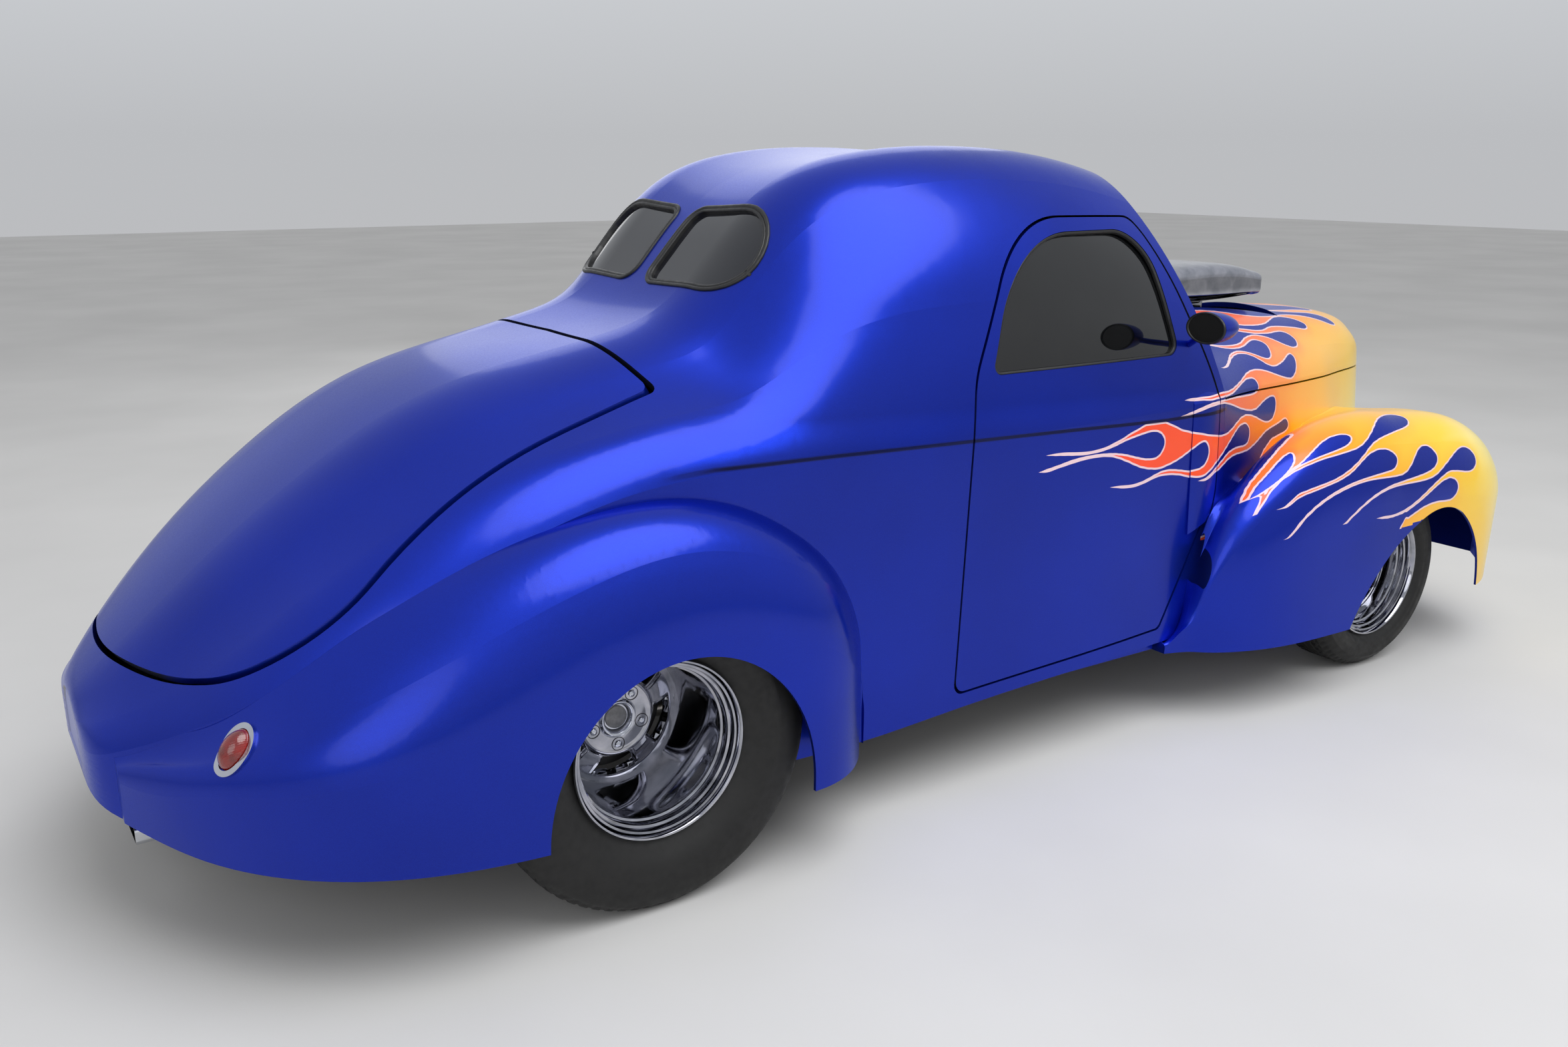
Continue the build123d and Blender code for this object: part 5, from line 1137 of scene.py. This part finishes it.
class HotrodRims(bpy.types.Operator):
    """Four five-spoke wheels with stepped lips, lug nuts and flat caps"""

    bl_idname = "hotrod.rims"
    bl_label = "Wheels"

    def execute(self, context):
        settings = context.scene.hotrod_wheels
        for kind, axle, side, ending, centre in wheels():
            name, body = f"{kind}_{ending}", f"wheel_{kind}_{ending}"
            half, slot = axle["rim"], "polished_aluminium"
            face = half - axle["dish"]
            barrel = turned(barrel_profile(kind, half, face), centre, 144, side)
            rim = (f"{kind}_rim_{ending}",)
            rings("barrel_" + name, [barrel], "polished", body, side < 0, rim, 24.0)
            sectors = face_sectors(centre, face, settings, side, 0.022 if kind == "rear" else 0.012)
            patches = [(grid, False, False, side < 0) for grid in sectors]
            disc = piece("face_" + name, patches, "polished", body, (), 40.0, 2e-5)
            wall = disc.modifiers.new("thickness", "SOLIDIFY")
            wall.thickness, wall.offset = 0.016, -1.0

            # The cap lies just outside the axle's end, and the cup reaches from it to the face
            stub = "rear_axle" if kind == "rear" else "knuckle_" + ending
            reach = max(abs(corner[1]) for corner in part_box(stub)) - abs(centre[1])
            deep = min(reach + 0.002 - face, 0.001)
            cup = [(0.0, deep), (0.0305, deep), (0.0315, max(deep, -0.010) + 0.001), (0.0330, 0.002),
                   (0.0370, 0.006), (0.0410, 0.0065), (0.0440, 0.002), (0.0470, -0.001)]
            cup = turned([(r, face + out) for r, out in cup], centre, 96, side)
            rings("hub_cup_" + name, [cup], "chrome", body, side > 0)
            cap = [(0.0, 0.0045), (0.0245, 0.0045), (0.0265, 0.0035), (0.0272, 0.0005)]
            cap = turned([(r, face + deep + out) for r, out in cap], centre, 72, side)
            rings("hub_cap_" + name, [cap], "cap", body, side > 0)

            turns = [2 * pi * (k + 0.5) / settings.spokes for k in range(settings.spokes)]
            pockets = [pocket_grid(centre, turn, face, side) for turn in turns]
            rings("lug_seats_" + name, pockets, "iron", body, side > 0)
            nuts = [lug_grid(centre, turn, face - 0.009, side) for turn in turns]
            rings("lug_nuts_" + name, nuts, "chrome", body, side < 0, (), 30.0)
        return {"FINISHED"}


# Window outlines as (u, v, corner radius) in millimetres, and the flat that each is drawn on:
# its origin and the directions of u, v and the way out. Then the left and right node's body.
LEAN = radians(46)
WINDOWS = [
    ("door_seal", "door_left", ("door_left", "door_right"), "thin",
     [(1012, 1086, 22), (1118, 1425, 300), (1640, 1424, 150), (1722, 1082, 34)],
     (REAR_AXLE_X, 1.05, 0.0), (1, 0, 0), (0, 0, 1), (0, 1, 0)),
    ("rear_seal", "body_shell", ("chassis", "chassis"), "broad",
     [(0, 40, 45), (10, 390, 120), (262, 470, 130), (240, 44, 45)],
     (REAR_AXLE_X + 0.385, 0.0, 1.3), (cos(LEAN), 0, sin(LEAN)), (0, 1, 0), (-sin(LEAN), 0, cos(LEAN))),
    ("screen_seal", "body_shell", ("chassis", "chassis"), "thin",
     [(20, 26, 25), (74, 446, 30), (330, 424, 200), (522, 372, 70), (590, 12, 50)],
     (REAR_AXLE_X + 2.010, 0.0, 1.140), (-0.2497, 0.9683, 0), (-0.4836, -0.1247, 0.8664),
     (0.839, 0.2164, 0.4994)),
]
SEAL_SECTIONS = {
    "broad": [(-9, -13, 1), (-9, 1, 2.5), (-3, 3, 1.5), (0, 0.5, 1), (3, 5.5, 2), (10, 5, 3), (12, -3, 1)],
    "thin": [(-7, -13, 1), (-7, -4, 2), (-2, -1, 2), (1.5, -3, 1), (1.5, -13, 1)],
}
PROBES = (6.0, 14.0)


def seal_path(node, outline, origin, u, v, out, count=220):
    """Edge points of a window on a node's skin, with the ways across and out at each.

    The outline is widened by two probes, both loops are dropped on the skin, and the line
    through each pair of hits gives the edge's height and the way across.
    """
    loop = evenly(filleted(outline), count)
    axes = np.array([u, v], float)
    out = np.asarray(out, float)
    hits = []
    for step in PROBES:
        starts = np.asarray(origin) + widened(loop, step) / 1000.0 @ axes + out * 0.45
        reach = soft_loop(first_hit(node, starts, -out), 9)
        hits.append(starts - reach[:, None] * out)
    rise = (hits[1] - hits[0]) / (PROBES[1] - PROBES[0])
    path = hits[0] - PROBES[0] * rise
    across = rise / np.linalg.norm(rise, axis=1, keepdims=True)
    run = np.roll(path, -1, 0) - np.roll(path, 1, 0)
    normal = np.cross(run, across)
    normal /= np.linalg.norm(normal, axis=1, keepdims=True)
    normal *= np.sign((normal * out).sum(1, keepdims=True))
    return path, across, normal


class HotrodSeals(bpy.types.Operator):
    """Rubber seals round the door windows, rear windows and windscreen"""

    bl_idname = "hotrod.seals"
    bl_label = "Window seals"

    def execute(self, context):
        for name, node, bodies, section, *drawing in WINDOWS:
            strip = evenly(filleted(SEAL_SECTIONS[section], 5), 28) / 1000.0
            grid = bead(*seal_path(node, *drawing), strip)
            for (side, ending), body in zip(SIDES, bodies):
                patch = (grid * (1, side, 1), True, True, False)
                piece(f"{name}_{ending}", [patch], "trim", body, (), 50.0, 1e-6, True)
        return {"FINISHED"}


# Half the width and height of a mirror, its place ahead of the rear axle, out and up, and its
# rim and glass as (share out, height)
MIRROR_HALF = (0.066, 0.043)
MIRROR_PLACE = (1.662, 0.795, 1.172)
MIRROR_RIM = [(0.86, 0.0005), (0.87, 0.0030), (0.90, 0.0045), (0.95, 0.0045), (0.985, 0.0030),
              (0.990, 0.0)]
MIRROR_GLASS = [(0.0, 0.0020), (0.4, 0.0019), (0.70, 0.0017), (0.875, 0.0014)]


def oval(centre, profile, steps=96):
    """Rings of an oval that faces back: y = cy + r W sin t, z = cz + r H cos t, x = cx - out."""
    t = np.linspace(0, 2 * pi, steps, endpoint=False)[:, None]
    r, out = (np.array([row[k] for row in profile])[None, :] for k in (0, 1))
    return placed(centre, 1, -out, r * MIRROR_HALF[0] * np.sin(t), r * MIRROR_HALF[1] * np.cos(t))


class HotrodMirrors(bpy.types.Operator):
    """Mirror glass in a rubber rim on each mirror head, painted near black as a painted dark reflection"""

    bl_idname = "hotrod.mirrors"
    bl_label = "Mirrors"

    def execute(self, context):
        for side, ending in SIDES:
            centre = (REAR_AXLE_X + MIRROR_PLACE[0], side * MIRROR_PLACE[1], MIRROR_PLACE[2])
            # The glass is painted near black: a painted dark reflection
            for name, profile, key in (("rim", MIRROR_RIM, "trim"), ("glass", MIRROR_GLASS, "mirror glass")):
                rings(f"mirror_{name}_{ending}", [oval(centre, profile)], key, "door_" + ending,
                      False, (), 50.0)
        return {"FINISHED"}


def quilted(centre, half, crown, pitch=0.066, deep=0.009):
    """A pad with a crowned top and sewn channels across it.

    With p and q the shares out from the middle, z gains crown (1 - p^2)(1 - q^2) on the
    top and loses deep exp(-(d / 4 mm)^2), d being the way to the nearest seam.
    """
    away = pad_grid(centre, half, 0.36, 81, 161) - np.asarray(centre)
    p, q = (np.clip(away[..., k] / half[k], -1, 1) for k in (0, 1))
    top = smoothstep(0.1, 0.8, away[..., 2] / half[2])
    seam = np.abs((away[..., 1] / pitch + 0.5) % 1.0 - 0.5) * pitch
    inner = smoothstep(1.0, 0.8, np.maximum(np.abs(p), np.abs(q)))
    rise = crown * (1 - p ** 2) * (1 - q ** 2) - deep * np.exp(-(seam / 0.004) ** 2) * inner
    pinch = 1 - 0.03 * (1 - p ** 2 * q ** 2)
    away = away * np.stack([pinch, pinch, np.ones_like(p)], -1)
    away[..., 2] += top * rise
    return away + np.asarray(centre)


def leaned(grid, pivot, angle):
    """Turns a grid about a cross axis through the pivot."""
    away = grid - np.asarray(pivot)
    x = away[..., 0] * cos(angle) + away[..., 2] * sin(angle)
    z = -away[..., 0] * sin(angle) + away[..., 2] * cos(angle)
    return np.stack([x, away[..., 1], z], -1) + np.asarray(pivot)


class HotrodSeats(bpy.types.Operator):
    """Two low seats: a base, a crowned cushion and a channelled back each"""

    bl_idname = "hotrod.seats"
    bl_label = "Seats"

    def execute(self, context):
        for side, ending in SIDES:
            y = side * 0.305
            base = pad_grid((-0.015, y, 0.262), (0.225, 0.215, 0.042), 0.22)
            pads("seat_base_" + ending, [base], "dash")
            cushion = quilted((-0.015, y, 0.362), (0.245, 0.232, 0.060), 0.016)
            pad = pads("cushion_" + ending, [cushion], "leather", ("seat_" + ending,), 60.0)
            back = quilted((0.0, y, 0.0), (0.330, 0.228, 0.055), 0.014)
            back = leaned(back, (0.0, y, 0.0), -radians(97)) + (-0.252, 0.0, 0.675)
            pad = pads("seat_back_" + ending, [back], "leather", (), 60.0)
        return {"FINISHED"}


# Height and radius of the two drive wheels, and how far back the shaft of each reaches
DRIVE_WHEELS = ((0.420, 0.082, 0.0), (0.930, 0.062, -0.118))
DRIVE_FRONT = REAR_AXLE_X + 2.680
BELT_STEPS = 240
BELT_SECTION = [(0, -30, 0.6), (3, -30, 0.6), (3, 30, 0.6), (0, 30, 0.6)]


def belt_grid():
    """A flat belt round both drive wheels, its path two half circles joined by straights."""
    low, high = DRIVE_WHEELS[0][0], DRIVE_WHEELS[1][0]
    t = np.linspace(0, 2 * pi, BELT_STEPS, endpoint=False)
    upper = np.cos(t) > 0
    radius = np.where(upper, DRIVE_WHEELS[1][1], DRIVE_WHEELS[0][1]) + 0.003
    height = np.where(upper, high, low) + radius * np.cos(t)
    path = evenly(np.stack([0 * t + DRIVE_FRONT + 0.046, radius * np.sin(t), height], -1), BELT_STEPS)
    above = np.clip(path[:, 2] - high, 0, None) + np.clip(path[:, 2] - low, None, 0)
    away = np.stack([0 * t, path[:, 1], above], -1)
    away /= np.linalg.norm(away, axis=1, keepdims=True)
    along = np.tile((1.0, 0.0, 0.0), (len(path), 1))
    return bead(path, away, along, evenly(filleted(BELT_SECTION, 4), 24) / 1000.0)


class HotrodEngine(bpy.types.Operator):
    """Valve covers, blower ribs, drive wheels and belt on the plain engine block"""

    bl_idname = "hotrod.engine"
    bl_label = "Engine"

    def execute(self, context):
        middle = REAR_AXLE_X + 2.385
        covers, fins, ribs = [], [], []
        for side, _ in SIDES:
            across = side * 0.232
            covers.append(pad_grid((middle, across, 0.772), (0.255, 0.062, 0.030), 0.25))
            for k in range(9):
                centre = (middle, across + (k - 4) * 0.011, 0.802)
                fins.append(pad_grid(centre, (0.225, 0.0022, 0.007), 0.3, 9, 33))
                centre = (REAR_AXLE_X + 2.36, side * 0.124, 0.825 + k * 0.026)
                ribs.append(pad_grid(centre, (0.185, 0.008, 0.0035), 0.3, 9, 33))
        pads("valve_covers", covers, "chrome")
        pads("cover_fins", fins, "polished")
        pads("blower_ribs", ribs, "polished")
        drives = []
        for z, radius, start in DRIVE_WHEELS:
            profile = [
                (0.0, 0.085), (0.018, 0.085), (0.022, 0.080), (radius * 0.55, 0.074), (radius * 0.80, 0.074),
                (radius * 0.86, 0.082), (radius + 0.006, 0.082), (radius + 0.006, 0.078), (radius, 0.077),
                (radius, 0.015), (radius + 0.006, 0.014), (radius + 0.006, 0.010), (0.040, 0.008),
                (0.040, start), (0.0, start),
            ]
            centre = (DRIVE_FRONT, 0.0, z)
            drives.append((facing_x(turned(profile, centre, 72, 1), centre), True, False, False))
        piece("drive_wheels", drives, "polished", "chassis", (), 35.0, 1e-5, True)
        belt = (belt_grid(), True, True, False)
        piece("drive_belt", [belt], "belt", "chassis", (), 50.0, 1e-6, True)
        return {"FINISHED"}


# Sections of the scoop as (station, half width, lowest, highest) in millimetres
SCOOP_ROWS = [
    (2036, 118, 1162, 1240), (2160, 138, 1146, 1252), (2380, 148, 1142, 1260),
    (2620, 150, 1140, 1260), (2732, 138, 1150, 1226),
]
SCOOP_BACK, SCOOP_MOUTH = 2036, 2730
SCOOP_SHEET = 6.0
SCOOP_LIP = 2.0
SCOOP_POWER = 0.42
SCOOP_COLUMNS = 120


def scoop_grid(inset, first, count):
    """Rounded rectangle sections along the scoop: y = h C(b), z = m + k S(b).

    The half width h and half height k come from a cubic through the rows' values, less the
    inset. C and S are the cosine and sine to a power with their sign kept, and a rolled lip
    widens the mouth.
    """
    rows = np.array(SCOOP_ROWS, float)
    x = np.linspace(first, SCOOP_MOUTH, count)
    side, low, top = (np.polynomial.Polynomial.fit(rows[:, 0], rows[:, k], 3)(x) for k in (1, 2, 3))
    edge = SCOOP_LIP * smoothstep(SCOOP_MOUTH - 34.0, SCOOP_MOUTH - 12.0, x)
    wide = side - inset + edge
    middle, high = (low + top) / 2, (top - low) / 2 - inset + edge
    b = np.linspace(0, 2 * pi, SCOOP_COLUMNS, endpoint=False)[None, :]
    across = wide[:, None] * bent(np.cos(b), SCOOP_POWER) / 1000
    up = (middle[:, None] + high[:, None] * bent(np.sin(b), SCOOP_POWER)) / 1000
    return placed((REAR_AXLE_X, 0.0, 0.0), 1, x[:, None] / 1000, across, up)


class HotrodScoop(bpy.types.Operator):
    """Polished intake scoop with a rolled mouth and three round throttle plates"""

    bl_idname = "hotrod.scoop"
    bl_label = "Intake scoop"

    def execute(self, context):
        outer = scoop_grid(0.0, SCOOP_BACK, 90)
        inner = scoop_grid(SCOOP_SHEET, SCOOP_BACK + 10, 60)[::-1]
        ends = [np.tile(g.mean(0), (1, SCOOP_COLUMNS, 1)) for g in (outer[0], inner[-1])]
        rim = (outer[-1:] + inner[:1]) / 2 + (0.003, 0, 0)
        shell = np.concatenate([ends[0], outer, rim, inner, ends[1]])
        neck = pad_grid((REAR_AXLE_X + 2.34, 0.0, 1.152), (0.150, 0.100, 0.022), 0.2)
        pads("scoop_shell", [shell, neck], "polished", ("intake_scoop",), 40.0)
        plates = []
        for k in range(3):
            centre = (REAR_AXLE_X + 2.640, (k - 1) * 0.088, 1.200)
            profile = [(0.0, 0.004), (0.006, 0.004), (0.008, 0.002), (0.036, 0.001), (0.0385, 0.003),
                       (0.0405, 0.003), (0.0415, -0.003), (0.0, -0.003)]
            plates.append((facing_x(turned(profile, centre, 64, 1), centre), True, False, False))
        piece("throttle_plates", plates, "cap", "chassis", (), 35.0, 1e-5, True)
        return {"FINISHED"}


# Where the photo was taken from: place, and yaw, pitch and roll in degrees
CAMERA_PLACE = (-2.468, -3.169, 1.608)
CAMERA_TURN = (56.66, 15.22, 0.02)
# Lamps as (name, place, aim, size, share of the key lamp's power)
LAMPS = [
    ("key lamp", (0.2, -3.2, 6.0), (0.0, 0.0, 0.4), 6.4, 1.0),
    ("fill lamp", (-6.0, -5.0, 3.2), (-0.4, 0.0, 0.6), 5.0, 0.25),
    ("rim lamp", (3.0, 6.5, 3.6), (0.0, 0.0, 0.6), 6.0, 0.20),
]
ROOM_LIGHT = 0.55
# Greys of the room from below the horizon to overhead
ROOM_STOPS = [
    (0.0, (0.50, 0.50, 0.51, 1)), (0.18, (0.50, 0.51, 0.53, 1)), (0.30, (0.62, 0.64, 0.67, 1)),
    (1.0, (0.66, 0.69, 0.74, 1)),
]


def room(scene):
    """Even white light, and a soft grey room where a ray looks at or mirrors the background."""
    world = bpy.data.worlds.new("soft room")
    scene.world = world
    world.use_nodes = True
    tree = world.node_tree
    tree.nodes.clear()
    kinds = ("OutputWorld", "Background", "Background", "MixShader", "LightPath", "TexCoord", "SeparateXYZ",
             "MapRange", "ValToRGB", "Math", "Math")
    made = [tree.nodes.new("ShaderNode" + kind) for kind in kinds]
    out, light, seen, blend, path, way, split, rise, greys, either, either_too = made
    light.inputs["Color"].default_value = (1.0, 1.0, 1.0, 1.0)
    light.inputs["Strength"].default_value = ROOM_LIGHT
    rise.inputs["From Min"].default_value, rise.inputs["From Max"].default_value = -0.2, 1.0
    stops = greys.color_ramp.elements
    stops[0].position, stops[0].color = ROOM_STOPS[0]
    stops[1].position, stops[1].color = ROOM_STOPS[-1]
    for position, grey in ROOM_STOPS[1:-1]:
        stops.new(position).color = grey
    either.operation = either_too.operation = "MAXIMUM"
    links = [
        (way.outputs["Generated"], split.inputs[0]), (split.outputs[2], rise.inputs["Value"]),
        (rise.outputs["Result"], greys.inputs[0]), (greys.outputs["Color"], seen.inputs["Color"]),
        (path.outputs["Is Camera Ray"], either.inputs[0]), (path.outputs["Is Glossy Ray"], either.inputs[1]),
        (either.outputs[0], either_too.inputs[0]),
        (path.outputs["Is Transmission Ray"], either_too.inputs[1]),
        (either_too.outputs[0], blend.inputs["Fac"]), (light.outputs[0], blend.inputs[1]),
        (seen.outputs[0], blend.inputs[2]), (blend.outputs[0], out.inputs["Surface"]),
    ]
    for start, end in links:
        tree.links.new(start, end)


class HotrodStageMaker(bpy.types.Operator):
    """Pale floor, soft lamps and the camera"""

    bl_idname = "hotrod.stage"
    bl_label = "Stage"

    def execute(self, context):
        scene = context.scene
        settings = scene.hotrod_stage
        half = settings.floor_size / 2
        mesh = bpy.data.meshes.new("floor")
        corners = [(-half, -half, 0), (half, -half, 0), (half, half, 0), (-half, half, 0)]
        mesh.from_pydata(corners, [], [(0, 1, 2, 3)])
        floor = bpy.data.objects.new("floor", mesh)
        scene.collection.objects.link(floor)
        nodes = Nodes("pale floor")
        tone = nodes.shaded(nodes.noise(0.7, 4.0), (0.80, 0.80, 0.80), (0.84, 0.84, 0.84))
        nodes.set(Base_Color=tone, Roughness=0.8, Normal=nodes.bump(nodes.noise(160.0, 3.0), 0.1, 0.002))
        mesh.materials.append(nodes.material)
        room(scene)

        for name, place, target, size, share in LAMPS:
            data = bpy.data.lights.new(name, "AREA")
            data.shape, data.size, data.size_y = "ELLIPSE", size, size
            data.energy = settings.key_power * share
            lamp = bpy.data.objects.new(name, data)
            scene.collection.objects.link(lamp)
            lamp.location = place
            lamp.rotation_euler = (Vector(target) - Vector(place)).to_track_quat("-Z", "Y").to_euler()

        yaw, pitch, roll = (radians(turn) for turn in CAMERA_TURN)
        forward = Vector((cos(yaw) * cos(pitch), sin(yaw) * cos(pitch), -sin(pitch)))
        right = Vector((sin(yaw), -cos(yaw), 0.0))
        up = right.cross(forward)
        right, up = cos(roll) * right + sin(roll) * up, cos(roll) * up - sin(roll) * right
        data = bpy.data.cameras.new("camera")
        data.sensor_fit, data.sensor_width, data.lens = "HORIZONTAL", 36.0, settings.lens
        data.clip_start, data.clip_end = 0.05, 200.0
        camera = bpy.data.objects.new("camera", data)
        scene.collection.objects.link(camera)
        columns = zip(right, up, -forward, CAMERA_PLACE)
        camera.matrix_world = Matrix((*columns, (0, 0, 0, 1)))
        scene.camera = camera
        scene.view_settings.view_transform = "Standard"
        return {"FINISHED"}


STEPS = (
    HotrodStageMaker, HotrodFinishFrame, HotrodTyres, HotrodRims, HotrodSeals, HotrodMirrors, HotrodSeats,
    HotrodEngine, HotrodScoop,
)


class HotrodPanel(bpy.types.Panel):
    """Lists the pieces in the sidebar"""

    bl_idname = "VIEW3D_PT_hotrod"
    bl_label = "Hot rod"
    bl_space_type = "VIEW_3D"
    bl_region_type = "UI"
    bl_category = "Hot rod"

    def draw(self, context):
        for group in (context.scene.hotrod_paint, context.scene.hotrod_wheels, context.scene.hotrod_stage):
            for key in group.__annotations__:
                self.layout.prop(group, key)
        for step in STEPS:
            self.layout.operator(step.bl_idname)


GROUPS = {"hotrod_paint": HotrodPaint, "hotrod_wheels": HotrodWheels, "hotrod_stage": HotrodStage}
CLASSES = (*GROUPS.values(), *STEPS, HotrodPanel)


def register():
    for item in CLASSES:
        bpy.utils.register_class(item)
    for key, group in GROUPS.items():
        setattr(bpy.types.Scene, key, PointerProperty(type=group))


def unregister():
    for key in GROUPS:
        delattr(bpy.types.Scene, key)
    for item in reversed(CLASSES):
        bpy.utils.unregister_class(item)


def main():
    register()
    for step in STEPS:
        group, name = step.bl_idname.split(".")
        getattr(getattr(bpy.ops, group), name)()


if __name__ == "__main__":
    main()
